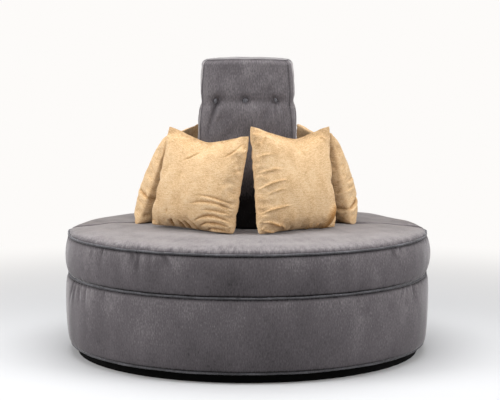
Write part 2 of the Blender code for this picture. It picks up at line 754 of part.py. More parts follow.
def column_reach(outward):
    """How far the foot of the column reaches in a direction, which the pillow leans against.

    The column widens downwards, so a pillow clear of its foot also lets it be lifted out.
    """
    corner = (COLUMN_BASE_HALF - COLUMN_CORNER) * (abs(outward.x) + abs(outward.y))
    return corner + COLUMN_CORNER + COLUMN_STANDOFF


def pillow_place(pillow):
    """Where a pillow leans: the matrix of its centre and the direction from the column to it."""
    angle = math.radians(pillow.stand)
    outward = Vector((math.sin(angle), -math.cos(angle), 0.0))
    half = PILLOW_HALF * pillow.tall_share
    top_reach, foot_reach, _ = pillow.stance
    lean = math.asin((foot_reach - top_reach) / (2 * half))
    middle = DECK_HEIGHT + DECK_RISE - PILLOW_SINK + half * math.cos(lean)
    place = Matrix.Translation(outward * (top_reach + foot_reach) / 2 + Vector((0, 0, middle)))
    heading = angle + math.radians(pillow.yaw)
    place = place @ Matrix.Rotation(heading, 4, "Z") @ Matrix.Rotation(-lean, 4, "X")
    return place @ Matrix.Rotation(math.radians(pillow.roll), 4, "Y"), outward


def settled_points(place, outward, pillow):
    """The pillow's grid of points in place, its back flat to the column and its foot to the deck."""
    cells = PILLOW_CELLS
    points = {}
    for side in (-1, 1):
        for i in range(cells + 1):
            for j in range(cells + 1):
                u, v = (math.sin(math.pi / 2 * (2 * k / cells - 1)) for k in (i, j))
                points[side, i, j] = place @ pillow_point(u, v, side, pillow)
    reach = column_reach(outward)
    for point in points.values():
        away = point.dot(outward) - reach
        point += outward * (eased(away, PILLOW_FLATTEN) - away)
    floors = {key: deck_height(math.hypot(point.x, point.y)) for key, point in points.items()}
    lifts = {key: eased(point.z - floors[key], PILLOW_SETTLE) for key, point in points.items()}
    lowest = min(lifts.values())
    for key, point in points.items():
        point.z = floors[key] + lifts[key] - lowest + SEAM_GAP
    return points


def add_pillow(name, pillow):
    """A stuffed square pillow: two quilted sheets closed by a narrow seam round the rim."""
    place, outward = pillow_place(pillow)
    unplace = place.inverted()
    bm = bmesh.new()
    cells = PILLOW_CELLS
    points = settled_points(place, outward, pillow)
    sheets = {key: bm.verts.new(unplace @ point) for key, point in points.items()}
    for side in (-1, 1):
        for i in range(cells):
            for j in range(cells):
                ring = ((i, j), (i + 1, j), (i + 1, j + 1), (i, j + 1))
                bm.faces.new([sheets[side, a, b] for a, b in ring])
    rim = [(i, 0) for i in range(cells)] + [(cells, j) for j in range(cells)]
    rim += [(i, cells) for i in range(cells, 0, -1)] + [(0, j) for j in range(cells, 0, -1)]
    for (a, b), (c, d) in zip(rim, rim[1:] + rim[:1]):
        bm.faces.new((sheets[-1, a, b], sheets[-1, c, d], sheets[1, c, d], sheets[1, a, b]))
    item = add_object(name, mesh_from(name, bm), TAN_CLOTH)
    item.matrix_world = place


def add_plinth(face, side, parent, joint):
    """The recessed black base ring and the lining stretched across it."""
    plinth = board(f"{face}_plinth", PLINTH_RADIUS, 0.0, PLINTH_HEIGHT, BLACK_PAINT, parent, (joint,))
    name = f"{face}_plinth_hollow"
    inner = PLINTH_RADIUS - PLINTH_WALL
    hollow = add_cutter(name, disc_mesh(name, inner, -CUT_OVERRUN, PLINTH_HEIGHT + CUT_OVERRUN))
    cut(hollow, side_cutter(f"{face}_plinth_face", side, SEAM_GAP + PLINTH_WALL))
    cut(plinth, hollow)
    cover_face = side_cutter(f"{face}_cover_face", side, SEAM_GAP + PLINTH_WALL + SEAM_GAP)
    low = PLINTH_HEIGHT - DUST_COVER_THICKNESS
    board(f"{face}_dust_cover", inner - SEAM_GAP, low, PLINTH_HEIGHT, LINING, parent, (cover_face,))


def add_section(face, side):
    """One half of the seat, from the plinth to the deck cover."""
    parent = add_empty(f"{face}_section")
    joint = side_cutter(f"{face}_joint_face", side, SEAM_GAP)
    well_low, well_high = SEAT_BOARD_BOTTOM - CUT_OVERRUN, COLUMN_BASE + CUT_OVERRUN
    seat_well = well_cutter(f"{face}_seat_well", WELL_HALF, well_low, well_high)
    add_plinth(face, side, parent, joint)
    base = (f"{face}_base_board", FRAME_RADIUS, BASE_BOARD_BOTTOM, BASE_BOARD_TOP)
    board(*base, PLYWOOD, parent, (joint,))
    frame_shell(f"{face}_frame", side, parent)
    for place, angle in RIB_ANGLES.items():
        rib(f"{face}_{place}_rib", angle, side, parent)
    seat = (f"{face}_seat_board", FRAME_RADIUS, SEAT_BOARD_BOTTOM, SEAT_BOARD_TOP)
    board(*seat, PLYWOOD, parent, (joint, seat_well))
    turned(f"{face}_seat_cushion", seat_cushion_profile(), VELVET, parent, (joint, seat_well))
    turned(f"{face}_lower_band", lower_band_profile(), VELVET, parent, (joint,))
    welt(f"{face}_top_welt", WELT_RING, TOP_WELT_HEIGHT, side, parent)
    welt(f"{face}_middle_welt", WELT_RING, MIDDLE_WELT_HEIGHT, side, parent)
    welt(f"{face}_bottom_welt", WELT_RING - BOTTOM_WELT_INSET, BOTTOM_WELT_HEIGHT, side, parent)
    return parent


def main():
    front = add_section("front", -1)
    back = add_section("back", 1)
    for place, x in PEG_PLACES.items():
        peg(f"{place}_peg", x, front)
        bush(f"{place}_bush", x, back)
    add_column(add_empty("column"))
    for name, pillow in PILLOWS.items():
        add_pillow(name, pillow)


main()
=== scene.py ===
"""Looks of a round lobby sofa: a velvet seat in two halves, a tufted column and five pillows.

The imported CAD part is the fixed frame. Every soft solid of it is replaced by a fuller form
that is built here, and every rigid piece keeps its shape and gets its real finish.
Lengths are in metres, +Z is up and -Y is the front.
"""

from __future__ import annotations

import json
import logging
import math
from collections.abc import Sequence
from dataclasses import dataclass
from enum import Enum
from typing import NamedTuple

import bmesh
import bpy
import numpy as np
from mathutils import Matrix, Vector

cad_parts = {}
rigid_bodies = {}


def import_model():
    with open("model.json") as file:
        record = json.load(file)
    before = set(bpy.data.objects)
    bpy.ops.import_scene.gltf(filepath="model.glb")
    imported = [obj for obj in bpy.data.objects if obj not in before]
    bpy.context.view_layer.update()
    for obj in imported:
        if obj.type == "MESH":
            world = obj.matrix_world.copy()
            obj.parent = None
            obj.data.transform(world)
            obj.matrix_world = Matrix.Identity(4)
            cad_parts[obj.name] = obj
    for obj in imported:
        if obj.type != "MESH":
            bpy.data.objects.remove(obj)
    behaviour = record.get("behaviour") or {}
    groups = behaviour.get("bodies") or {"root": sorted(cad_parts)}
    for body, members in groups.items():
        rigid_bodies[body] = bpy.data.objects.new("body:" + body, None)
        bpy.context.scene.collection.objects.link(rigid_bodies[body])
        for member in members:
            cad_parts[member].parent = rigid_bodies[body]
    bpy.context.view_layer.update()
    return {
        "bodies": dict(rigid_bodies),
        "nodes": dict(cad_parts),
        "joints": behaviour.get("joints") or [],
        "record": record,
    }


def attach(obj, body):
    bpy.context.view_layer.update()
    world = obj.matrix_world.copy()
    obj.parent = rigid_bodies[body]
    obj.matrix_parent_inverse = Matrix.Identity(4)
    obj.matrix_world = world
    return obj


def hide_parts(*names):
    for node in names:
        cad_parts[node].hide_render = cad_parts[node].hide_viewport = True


LOG = logging.getLogger("round_sofa")
MM = 0.001
CLOTH_PLACE = "cloth_place"
# Kept on each cloth mesh: the nap's own tone together with painted light and shade.
NAP_AND_PAINTED_LIGHT = "nap_and_painted_light"

Array = np.ndarray


class Body(Enum):
    """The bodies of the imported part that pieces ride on."""

    FRONT = "front_section"
    BACK = "back_section"
    COLUMN = "column"


class Slot(Enum):
    """The record's material slots."""

    VELVET = "grey_velvet"
    WELT = "grey_velvet_welt"
    TAN = "tan_cloth"
    PLYWOOD = "birch_plywood"
    PAINT = "black_paint"
    LINING = "black_lining"
    ZINC = "zinc_plated_steel"
    NYLON = "black_nylon"


def linear(code: str) -> tuple[float, float, float, float]:
    """Turn an sRGB hex colour into linear light.

    Args:
        code: Six hex digits after a hash.

    Returns:
        Red, green, blue and an alpha of one.
    """
    channels = []
    for place in (1, 3, 5):
        value = int(code[place : place + 2], 16) / 255
        channels.append(value / 12.92 if value <= 0.04045 else ((value + 0.055) / 1.055) ** 2.4)
    return (*channels, 1.0)


def add_node(
    tree: bpy.types.NodeTree,
    kind: str,
    inputs: dict[str | int, object] | None = None,
    **settings: object,
) -> bpy.types.Node:
    """Add a node with its settings, and set or link its inputs.

    Args:
        tree: The node tree that takes it.
        kind: The node's type name.
        inputs: Socket values, or output sockets to link, by input name or number.
        settings: Properties of the node by name.

    Returns:
        The new node.
    """
    node = tree.nodes.new(kind)
    for name, value in settings.items():
        setattr(node, name, value)
    for key, value in (inputs or {}).items():
        socket = node.inputs[key]
        if isinstance(value, bpy.types.NodeSocket):
            tree.links.new(value, socket)
        else:
            socket.default_value = value
    return node


def new_material(name: str) -> tuple[bpy.types.Material, bpy.types.NodeTree]:
    """Make an empty node material.

    Args:
        name: The material's name.

    Returns:
        The material and its node tree.
    """
    made = bpy.data.materials.new(name)
    made.use_nodes = True
    made.node_tree.nodes.clear()
    return made, made.node_tree


def stretched(tree: bpy.types.NodeTree, across: float, along: float) -> bpy.types.NodeSocket:
    """Give the cloth's own place, counted in marks of a real size.

    Args:
        tree: The node tree.
        across: The size of one mark across the nap or weft, in metres.
        along: The size of one mark along the nap or warp, in metres.

    Returns:
        The scaled place's socket.
    """
    place = add_node(tree, "ShaderNodeAttribute", attribute_name=CLOTH_PLACE)
    scale = (1 / across, 1 / along, 1 / across)
    sized = add_node(
        tree, "ShaderNodeVectorMath", {0: place.outputs["Vector"], 1: scale}, operation="MULTIPLY"
    )
    return sized.outputs["Vector"]


def shaded(
    tree: bpy.types.NodeTree,
    level: bpy.types.NodeSocket,
    base: str,
    steps: Sequence[tuple[str, tuple[float, float]]],
) -> bpy.types.NodeSocket:
    """Turn a level into a colour that passes from tint to tint as the level rises.

    Args:
        tree: The node tree.
        level: The level's socket.
        base: The lowest tint.
        steps: Each further tint, with the levels where it begins and where it is full.

    Returns:
        The colour's socket.
    """
    colour: object = linear(base)
    for tint, (low, high) in steps:
        share = add_node(tree, "ShaderNodeMapRange", {0: level, 1: low, 2: high})
        inputs = {0: share.outputs[0], 6: colour, 7: linear(tint)}
        colour = add_node(tree, "ShaderNodeMix", inputs, data_type="RGBA").outputs[2]
    return colour


@dataclass(frozen=True)
class CutPileVelvet:
    """Woven velvet with a short cut pile, brushed downwards.

    The pile swallows light head on and glows where it is seen edge on, and brushed streaks
    and handled patches show as lighter and darker grey. Tufts of such velvet stand a few
    tenths of a millimetre apart, too fine to show here: the grain is drawn 3 mm across and
    the brush marks 4 mm.
    """

    name: str
    dark: str = "#1f1d1f"
    middle: str = "#676265"
    light: str = "#969192"
    middle_levels: tuple[float, float] = (0.1, 1.5)
    light_levels: tuple[float, float] = (1.45, 2.3)
    streak_mm: tuple[float, float] = (4.0, 36.0)
    streak_weight: float = 1.0
    patch_mm: tuple[float, float] = (70.0, 130.0)
    patch_weight: float = 0.5
    grain_mm: tuple[float, float] = (3.0, 10.5)
    grain_weight: float = 1.3
    sheen: float = 1.0
    sheen_roughness: float = 0.26
    sheen_tint: str = "#ebe8e9"
    roughness: float = 0.92
    gloss: float = 0.1
    pile_height_mm: float = 0.5
    pile_strength: float = 0.5

    def build(self) -> bpy.types.Material:
        """Build the material.

        Returns:
            The velvet.
        """
        made, tree = new_material(self.name)
        # The level starts from the nap's tone with the painted light and shade kept on the mesh.
        level = add_node(tree, "ShaderNodeAttribute", attribute_name=NAP_AND_PAINTED_LIGHT).outputs["Fac"]
        marks = (
            (self.streak_mm, self.streak_weight, 3.0, 0.6),
            (self.patch_mm, self.patch_weight, 4.0, 0.55),
            (self.grain_mm, self.grain_weight, 2.0, 0.5),
        )
        for (across, along), weight, detail, rough in marks:
            place = stretched(tree, across * MM, along * MM)
            noise = {"Vector": place, "Scale": 1.0, "Detail": detail, "Roughness": rough}
            grain = add_node(tree, "ShaderNodeTexNoise", noise).outputs["Fac"]
            inputs = {0: grain, 1: weight, 2: level}
            level = add_node(tree, "ShaderNodeMath", inputs, operation="MULTIPLY_ADD").outputs[0]
        steps = ((self.middle, self.middle_levels), (self.light, self.light_levels))
        depth = self.pile_height_mm * MM
        pile = {"Height": grain, "Strength": self.pile_strength, "Distance": depth}
        shader = add_node(
            tree,
            "ShaderNodeBsdfPrincipled",
            {
                "Base Color": shaded(tree, level, self.dark, steps),
                "Roughness": self.roughness,
                "Specular IOR Level": self.gloss,
                "Sheen Weight": self.sheen,
                "Sheen Roughness": self.sheen_roughness,
                "Sheen Tint": linear(self.sheen_tint),
                "Normal": add_node(tree, "ShaderNodeBump", pile).outputs["Normal"],
            },
        )
        add_node(tree, "ShaderNodeOutputMaterial", {"Surface": shader.outputs["BSDF"]})
        return made


@dataclass(frozen=True)
class NubbyWeave:
    """Heavy tan cotton and chenille in a plain weave.

    Thick soft yarns give small raised nubs, a flecked sand colour and no gloss at all.
    Yarns of such cloth lie about 0.8 mm apart, and are drawn at 2 mm so that they show.
    """

    name: str
    deep: str = "#a67846"
    body: str = "#eac596"
    pale: str = "#f8e1bf"
    body_levels: tuple[float, float] = (0.4, 1.05)
    pale_levels: tuple[float, float] = (0.95, 1.5)
    yarn_mm: float = 2.0
    yarn_weight: float = 0.35
    nub_mm: float = 3.2
    slub_mm: tuple[float, float] = (13.0, 3.6)
    slub_weight: float = 0.9
    patch_mm: float = 60.0
    patch_weight: float = 0.15
    relief_mm: float = 0.8
    relief_strength: float = 0.7
    roughness: float = 0.95
    gloss: float = 0.15
    sheen: float = 0.18
    sheen_roughness: float = 0.5
    sheen_tint: str = "#f4e6cf"

    def build(self) -> bpy.types.Material:
        """Build the material.

        Returns:
            The cloth.
        """
        made, tree = new_material(self.name)
        yarn, nub, patch = self.yarn_mm * MM, self.nub_mm * MM, self.patch_mm * MM
        split = add_node(tree, "ShaderNodeSeparateXYZ", {0: stretched(tree, yarn, yarn)})
        ripples = []
        for axis in ("X", "Y"):
            inputs = {0: split.outputs[axis], 1: math.tau}
            turns = add_node(tree, "ShaderNodeMath", inputs, operation="MULTIPLY").outputs[0]
            ripple = add_node(tree, "ShaderNodeMath", {0: turns}, operation="SINE")
            ripples.append(ripple.outputs[0])
        inputs = {0: ripples[0], 1: ripples[1]}
        weave = add_node(tree, "ShaderNodeMath", inputs, operation="MULTIPLY").outputs[0]
        across, along = (size * MM for size in self.slub_mm)
        patterns = {
            "nubs": {"Vector": stretched(tree, nub, nub), "Detail": 2.0},
            "slubs": {"Vector": stretched(tree, across, along), "Detail": 3.0, "Roughness": 0.7},
            "patches": {"Vector": stretched(tree, patch, patch), "Detail": 3.0},
        }
        noise = {
            name: add_node(tree, "ShaderNodeTexNoise", {"Scale": 1.0, **inputs}).outputs["Fac"]
            for name, inputs in patterns.items()
        }
        inputs = {0: noise["slubs"], 1: self.slub_weight, 2: noise["nubs"]}
        flecks = add_node(tree, "ShaderNodeMath", inputs, operation="MULTIPLY_ADD").outputs[0]
        inputs = {0: noise["patches"], 1: self.patch_weight, 2: flecks}
        tone = add_node(tree, "ShaderNodeMath", inputs, operation="MULTIPLY_ADD").outputs[0]
        # The tone takes in the painted shade kept on the mesh, darkest in the folds.
        nap_and_shade = add_node(tree, "ShaderNodeAttribute", attribute_name=NAP_AND_PAINTED_LIGHT).outputs["Fac"]
        tone = add_node(tree, "ShaderNodeMath", {0: tone, 1: nap_and_shade}, operation="ADD").outputs[0]
        inputs = {0: weave, 1: self.yarn_weight, 2: flecks}
        height = add_node(tree, "ShaderNodeMath", inputs, operation="MULTIPLY_ADD").outputs[0]
        nap = {"Height": height, "Strength": self.relief_strength, "Distance": self.relief_mm * MM}
        steps = ((self.body, self.body_levels), (self.pale, self.pale_levels))
        shader = add_node(
            tree,
            "ShaderNodeBsdfPrincipled",
            {
                "Base Color": shaded(tree, tone, self.deep, steps),
                "Roughness": self.roughness,
                "Specular IOR Level": self.gloss,
                "Sheen Weight": self.sheen,
                "Sheen Roughness": self.sheen_roughness,
                "Sheen Tint": linear(self.sheen_tint),
                "Normal": add_node(tree, "ShaderNodeBump", nap).outputs["Normal"],
            },
        )
        add_node(tree, "ShaderNodeOutputMaterial", {"Surface": shader.outputs["BSDF"]})
        return made


@dataclass(frozen=True)
class BirchPlywood:
    """Bare birch plywood, rotary cut and sanded.

    It gives pale straight grain with brown pores and a dull surface. The grain lines are
    drawn 4 mm apart and 160 mm long.
    """

    name: str
    pale: str = "#d9bd8f"
    grain: str = "#b98f5c"
    grain_levels: tuple[float, float] = (0.4, 0.7)
    grain_mm: tuple[float, float] = (4.0, 160.0)
    relief_mm: float = 0.2
    relief_strength: float = 0.3
    roughness: float = 0.6

    def build(self) -> bpy.types.Material:
        """Build the material.

        Returns:
            The plywood.
        """
        made, tree = new_material(self.name)
        place = add_node(tree, "ShaderNodeTexCoord").outputs["Object"]
        across, along = (size * MM for size in self.grain_mm)
        scale = (1 / along, 1 / across, 1 / across)
        sized = add_node(tree, "ShaderNodeVectorMath", {0: place, 1: scale}, operation="MULTIPLY")
        inputs = {"Vector": sized.outputs[0], "Scale": 1.0, "Detail": 5.0}
        noise = add_node(tree, "ShaderNodeTexNoise", inputs).outputs["Fac"]
        pores = {"Height": noise, "Strength": self.relief_strength, "Distance": self.relief_mm * MM}
        shader = add_node(
            tree,
            "ShaderNodeBsdfPrincipled",
            {
                "Base Color": shaded(tree, noise, self.pale, ((self.grain, self.grain_levels),)),
                "Roughness": self.roughness,
                "Normal": add_node(tree, "ShaderNodeBump", pores).outputs["Normal"],
            },
        )
        add_node(tree, "ShaderNodeOutputMaterial", {"Surface": shader.outputs["BSDF"]})
        return made


@dataclass(frozen=True)
class SpeckledSurface:
    """A plain made surface whose colour and gloss vary a little, as handling leaves them."""

    name: str
    colour: str
    worn: str
    roughness: tuple[float, float]
    metallic: float = 0.0
    speck_mm: float = 6.0
    speck_levels: tuple[float, float] = (0.45, 0.75)
    relief_mm: float = 0.1
    relief_strength: float = 0.3
    gloss: float = 0.5

    def build(self) -> bpy.types.Material:
        """Build the material.

        Returns:
            The surface.
        """
        made, tree = new_material(self.name)
        place = add_node(tree, "ShaderNodeTexCoord").outputs["Object"]
        inputs = {"Vector": place, "Scale": 1 / (self.speck_mm * MM), "Detail": 4.0}
        noise = add_node(tree, "ShaderNodeTexNoise", inputs).outputs["Fac"]
        low, high = self.roughness
        rough = add_node(tree, "ShaderNodeMapRange", {0: noise, 3: low, 4: high}).outputs[0]
        depth = self.relief_mm * MM
        specks = {"Height": noise, "Strength": self.relief_strength, "Distance": depth}
        shader = add_node(
            tree,
            "ShaderNodeBsdfPrincipled",
            {
                "Base Color": shaded(tree, noise, self.colour, ((self.worn, self.speck_levels),)),
                "Metallic": self.metallic,
                "Roughness": rough,
                "Specular IOR Level": self.gloss,
                "Normal": add_node(tree, "ShaderNodeBump", specks).outputs["Normal"],
            },
        )
        add_node(tree, "ShaderNodeOutputMaterial", {"Surface": shader.outputs["BSDF"]})
        return made


def waves(
    across: Array, along: Array, lengths: tuple[float, float], seed: int, count: int = 20
) -> Array:
    """Give smooth irregular waves over a surface, about one high.

    Args:
        across: Place across the surface at each point, in metres.
        along: Place along the surface at each point, in metres.
        lengths: The shortest and longest wave, in metres.
        seed: Picks the pattern.
        count: How many waves are laid over each other.

    Returns:
        The height at each point.
    """
    random = np.random.default_rng(seed)
    total = np.zeros(np.broadcast(across, along).shape)
    for _ in range(count):
        turn = math.tau / random.uniform(*lengths)
        angle, phase = random.uniform(0, math.tau, 2)
        total += np.sin(turn * (across * math.cos(angle) + along * math.sin(angle)) + phase)
    return total / math.sqrt(count / 2)


@dataclass(frozen=True)
class Gathers:
    """Short folds that run in from a seam where the cover is eased on."""

    places: tuple[float, float]
    count: int
    depth_mm: tuple[float, float]
    width_mm: tuple[float, float]
    length_mm: tuple[float, float]
    seed: int
    lean: float = 0.25

    def relief(self, across: Array, run: Array) -> Array:
        """Work out how far the folds draw the cover in.

        Args:
            across: Place along the seam, in metres.
            run: Distance from the seam, in metres.

        Returns:
            The depth at each point, negative inwards, in metres.
        """
        random = np.random.default_rng(self.seed)
        total = np.zeros(np.broadcast(across, run).shape)
        for _ in range(self.count):
            centre = random.uniform(*self.places)
            depth = random.uniform(*self.depth_mm) * MM
            width = random.uniform(*self.width_mm) * MM
            length = random.uniform(*self.length_mm) * MM
            lean = random.uniform(-self.lean, self.lean)
            away = (across - centre - lean * run) / (width * (1 + run / length))
            start = 1 - np.exp(-((run + 2 * MM) / (6 * MM)) ** 2)
            fade = np.exp(-((run / length) ** 2)) * start
            rolled = 0.45 * np.exp(-(((away - 1.9) / 1.1) ** 2)) - np.exp(-(away**2))
            total += fade * depth * rolled
        return total


def closed_mesh(name: str, points: Array, place: Array, nap_and_shade: Array) -> bpy.types.Mesh:
    """Build a smooth closed mesh from loops of points, its first and last loop capped.

    Args:
        name: The mesh's name.
        points: Points by loop, place round the loop, and axis.
        place: The cloth's own place at each point.
        nap_and_shade: Tone of the nap with painted light and shade, by loop and place round it.

    Returns:
        The mesh, its faces turned outward.
    """
    rows, columns = points.shape[:2]
    index = np.arange(rows * columns).reshape(rows, columns)
    index = np.hstack([index, index[:, :1]])
    quads = np.stack([index[:-1, :-1], index[:-1, 1:], index[1:, 1:], index[1:, :-1]], axis=-1)
    faces: list[Sequence[int]] = quads.reshape(-1, 4).tolist()
    faces.append(index[0, :columns][::-1].tolist())
    faces.append(index[-1, :columns].tolist())
    mesh = bpy.data.meshes.new(name)
    mesh.from_pydata(points.reshape(-1, 3).tolist(), [], faces)
    mesh.validate()
    write_attributes(mesh, place.reshape(-1, 3), nap_and_shade.reshape(-1))
    mesh.polygons.foreach_set("use_smooth", [True] * len(mesh.polygons))
    mesh.update()
    outward(mesh)
    return mesh


def write_attributes(mesh: bpy.types.Mesh, place: Array, nap_and_shade: Array) -> None:
    """Keep the cloth's own place, and its nap's tone with painted light and shade, on a mesh.

    Args:
        mesh: The mesh.
        place: The cloth's own place at each point, in metres.
        nap_and_shade: Tone of the nap with painted light and shade at each point.
    """
    kept = mesh.attributes.new(CLOTH_PLACE, "FLOAT_VECTOR", "POINT")
    kept.data.foreach_set("vector", np.ascontiguousarray(place, np.float32).ravel())
    kept = mesh.attributes.new(NAP_AND_PAINTED_LIGHT, "FLOAT", "POINT")
    kept.data.foreach_set("value", np.ascontiguousarray(nap_and_shade, np.float32).ravel())


def outward(mesh: bpy.types.Mesh) -> None:
    """Turn every face of a closed mesh to face out.

    Args:
        mesh: The mesh.
    """
    work = bmesh.new()
    work.from_mesh(mesh)
    bmesh.ops.recalc_face_normals(work, faces=work.faces)
    work.to_mesh(mesh)
    work.free()


class Dresser:
    """Puts finished pieces into the scene: their material, body, slot and replaced CAD nodes."""

    def __init__(self, materials: dict[Slot, bpy.types.Material]) -> None:
        """Keep the materials by slot."""
        self.materials = materials

    def add(
        self,
        mesh: bpy.types.Mesh,
        slot: Slot,
        body: str,
        nodes: Sequence[str] = (),
        fill: float | None = None,
    ) -> bpy.types.Object:
        """Add a piece.

        Args:
            mesh: Its mesh, in the row frame.
            slot: The slot whose finish it wears.
            body: The body that it rides on.
            nodes: The CAD nodes that it replaces.
            fill: How tight its stuffing is, if it is padded; not used.

        Returns:
            The piece.
        """
        piece = bpy.data.objects.new(mesh.name, mesh)
        bpy.context.scene.collection.objects.link(piece)
        piece.data.materials.append(self.materials[slot])
        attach(piece, body)
        if nodes:
            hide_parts(*nodes)
        LOG.info("built %s: %d faces on %s", piece.name, len(mesh.polygons), body)
        return piece

    def finish_nodes(self, nodes: dict[str, bpy.types.Object], record: dict) -> None:
        """Give every CAD node that stays in view its real finish.

        Args:
            nodes: The CAD nodes by name.
            record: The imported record, which names each node's slot.
        """
        slots = {part["node"]: Slot(part["material_slot"]) for part in record["subparts"]}
        for name, item in nodes.items():
            if item.hide_render:
                continue
            item.data.materials.clear()
            item.data.materials.append(self.materials[slots[name]])


@dataclass
class SeatSection:
    """One half of the round seat: its deck and upper band, lower band and three welts."""

    face: str
    side: int
    body: Body
    seat_radius: float = 0.762
    welt_radius: float = 0.0045
    seam_gap: float = 0.0005
    top_welt: float = 0.4945
    middle_welt: float = 0.3300
    bottom_welt: float = 0.0405
    bottom_inset: float = 0.006
    deck: float = 0.525
    deck_rise: float = 0.006
    upper_swell: float = 0.0185
    lower_swell: float = 0.0215
    well: float = 0.155
    frame_radius: float = 0.7325
    columns: int = 560
    # Painted light over the deck, drawing the seat's top lighter than its sides.
    deck_painted_light: float = 0.62
    roll: float = 0.028
    roll_depth: float = 0.010
    flare: float = 0.005
    flare_width: float = 0.035
    flare_height: float = 0.04
    rise_end: float = 0.88
    rise_run: float = 0.18
    rim_fall: float = 0.004
    lip: float = 0.006
    lip_round: float = 0.002
    touch: float = 0.0003
    stitch: float = 0.0008
    tuck: float = 0.001
    hollow_depth: float = 0.0016
    hollow_fade: tuple[float, float] = (0.04, 0.05)
    upper_waves: float = 0.0014
    lower_waves: float = 0.0013
    upper_pull: float = 0.003
    lower_pull: float = 0.004
    welt_pull: float = 0.002
    # Painted shade in the bands' fold hollows and painted highlight on their rolls, per metre of
    # relief.
    upper_fold_painted_shade: float = 50.0
    lower_fold_painted_shade: float = 44.0
    nap_waves: float = 0.05
    frame_gap: float = 0.0005
    band_foot: float = 0.0044
    welt_wander: float = 0.0004
    welt_lumps: float = 0.05

    @property
    def ring(self) -> float:
        """Radius of the line through the middle of the welts."""
        return self.seat_radius - self.welt_radius

    @property
    def groove(self) -> float:
        """Radius of the cover where it goes behind a welt."""
        return self.ring - self.welt_radius + 0.0007

    def angles(self) -> Array:
        """Angles round the half, closer together near the joint line.

        Returns:
            Angles from the right end to the left end, in radians.
        """
        fine = np.radians([0.0, 0.05, 0.12, 0.2, 0.3, 0.42])
        middle = np.linspace(math.radians(0.6), math.pi - math.radians(0.6), self.columns)
        return np.concatenate([fine, middle, (math.pi - fine)[::-1]])

    def facing(self, angle: Array) -> Array:
        """Angle round from the front of the sofa towards its right, in radians."""
        turned = angle - math.pi / 2
        return -turned if self.side < 0 else math.pi + turned

    def deck_height(self, radius: Array) -> Array:
        """Work out the deck's height: a low crown, then a wide and a tight curve over the rim.

        Args:
            radius: Distance from the sofa's middle at each point.

        Returns:
            The height at each point.
        """
        share = np.minimum(radius / self.groove, 1.0)
        climb = np.clip((self.rise_end - share) / self.rise_run, 0.0, 1.0)
        rise = self.deck_rise * climb * climb * (3 - 2 * climb)
        drop = self.deck - (self.top_welt + self.rim_fall)
        return self.deck + rise - drop * (0.45 * share**16 + 0.55 * (1 - np.sqrt(1 - share**34)))

    def to_space(self, radius: Array, angle: Array, height: Array) -> Array:
        """Place points of the half seat, which starts a seam's gap from the joint line.

        Args:
            radius: Distance from the sofa's middle.
            angle: Angle round the half, in radians.
            height: Height above the floor.

        Returns:
            The points.
        """
        x = radius * np.cos(angle)
        y = self.side * (self.seam_gap + radius * np.sin(angle))
        return np.stack(np.broadcast_arrays(x, y, height), axis=-1)

    def edge_roll(self, radius: Array, angle: Array) -> Array:
        """How far the cover rolls over at the joint line between the halves."""
        away = np.abs(radius * np.sin(angle))
        return np.clip(1 - away / self.roll, 0, 1) ** 2

    def horn(self, radius: Array, angle: Array, height: Array) -> Array:
        """Work out how far the top edge flares where the cover is pulled round a joint corner.

        Args:
            radius: Distance from the sofa's middle.
            angle: Angle round the half, in radians.
            height: Height above the floor.

        Returns:
            How far each point stands out.
        """
        away = np.abs(radius * np.sin(angle)) / self.flare_width
        level = (height - self.top_welt) / self.flare_height
        return self.flare * np.exp(-(away**2) - level**2) * (radius / self.ring).clip(0, 1) ** 24

    @staticmethod
    def bulge(share: float, full: float, power: float) -> float:
        """How far a padded band swells out at a share of the way down it."""
        return full * math.sin(math.pi * min(max(share, 1e-4), 1 - 1e-4)) ** power

    @staticmethod
    def down_shares(count: int) -> Array:
        """Shares of the way down a band, closer together at its seams."""
        return (1 - np.cos(np.linspace(0, math.pi, count))) / 2

    @staticmethod
    def stacked(rows: Sequence[tuple[object, object]], angle: Array) -> tuple[Array, Array]:
        """Stack a cover's rows, each with one radius and height or with one for each angle.

        Args:
            rows: Radius and height of each row, in order round the section.
            angle: Angles round the half.

        Returns:
            Radius and height at each point, by row and angle.
        """
        radius, height = (
            np.vstack([np.broadcast_to(row[axis], angle.shape) for row in rows]) for axis in (0, 1)
        )
        return radius, height

    def cushion(self) -> bpy.types.Mesh:
        """Build the foam seat's cover: deck, rolled rim, boxed band and the wall of the well.

        Returns:
            A closed mesh.
        """
        angle = self.angles()[None, :]
        start = self.well / np.maximum(np.abs(np.cos(angle)), np.abs(np.sin(angle)))
        rim = self.groove
        low = self.middle_welt + self.touch
        rows = [(start, level) for level in (low, (low + self.deck) / 2, self.deck - self.lip)]
        rows.append((start + self.lip_round, self.deck + self.deck_rise - self.lip_round))
        deck_shares = np.concatenate([np.linspace(0, 0.86, 22), 1 - np.geomspace(0.12, 0.0006, 22)])
        deck = slice(len(rows), len(rows) + len(deck_shares))
        radii = [start + self.lip + (rim - start - self.lip) * share for share in deck_shares]
        rows += [(radius, self.deck_height(radius)) for radius in radii]
        rows += [(rim - self.stitch, self.top_welt + step) for step in (0.003, 0.0, -0.003)]
        top, bottom = self.top_welt - self.welt_radius, self.middle_welt + self.welt_radius
        shares = self.down_shares(40)
        band = slice(len(rows), len(rows) + len(shares))
        for share in shares:
            swell = self.bulge(share, self.upper_swell, 0.5)
            rows.append((rim + swell, top + (bottom - top) * share))
        rows.append((rim - self.tuck, low))
        radius, height = self.stacked(rows, angle)
        arc = self.facing(angle) * self.seat_radius + 0 * radius
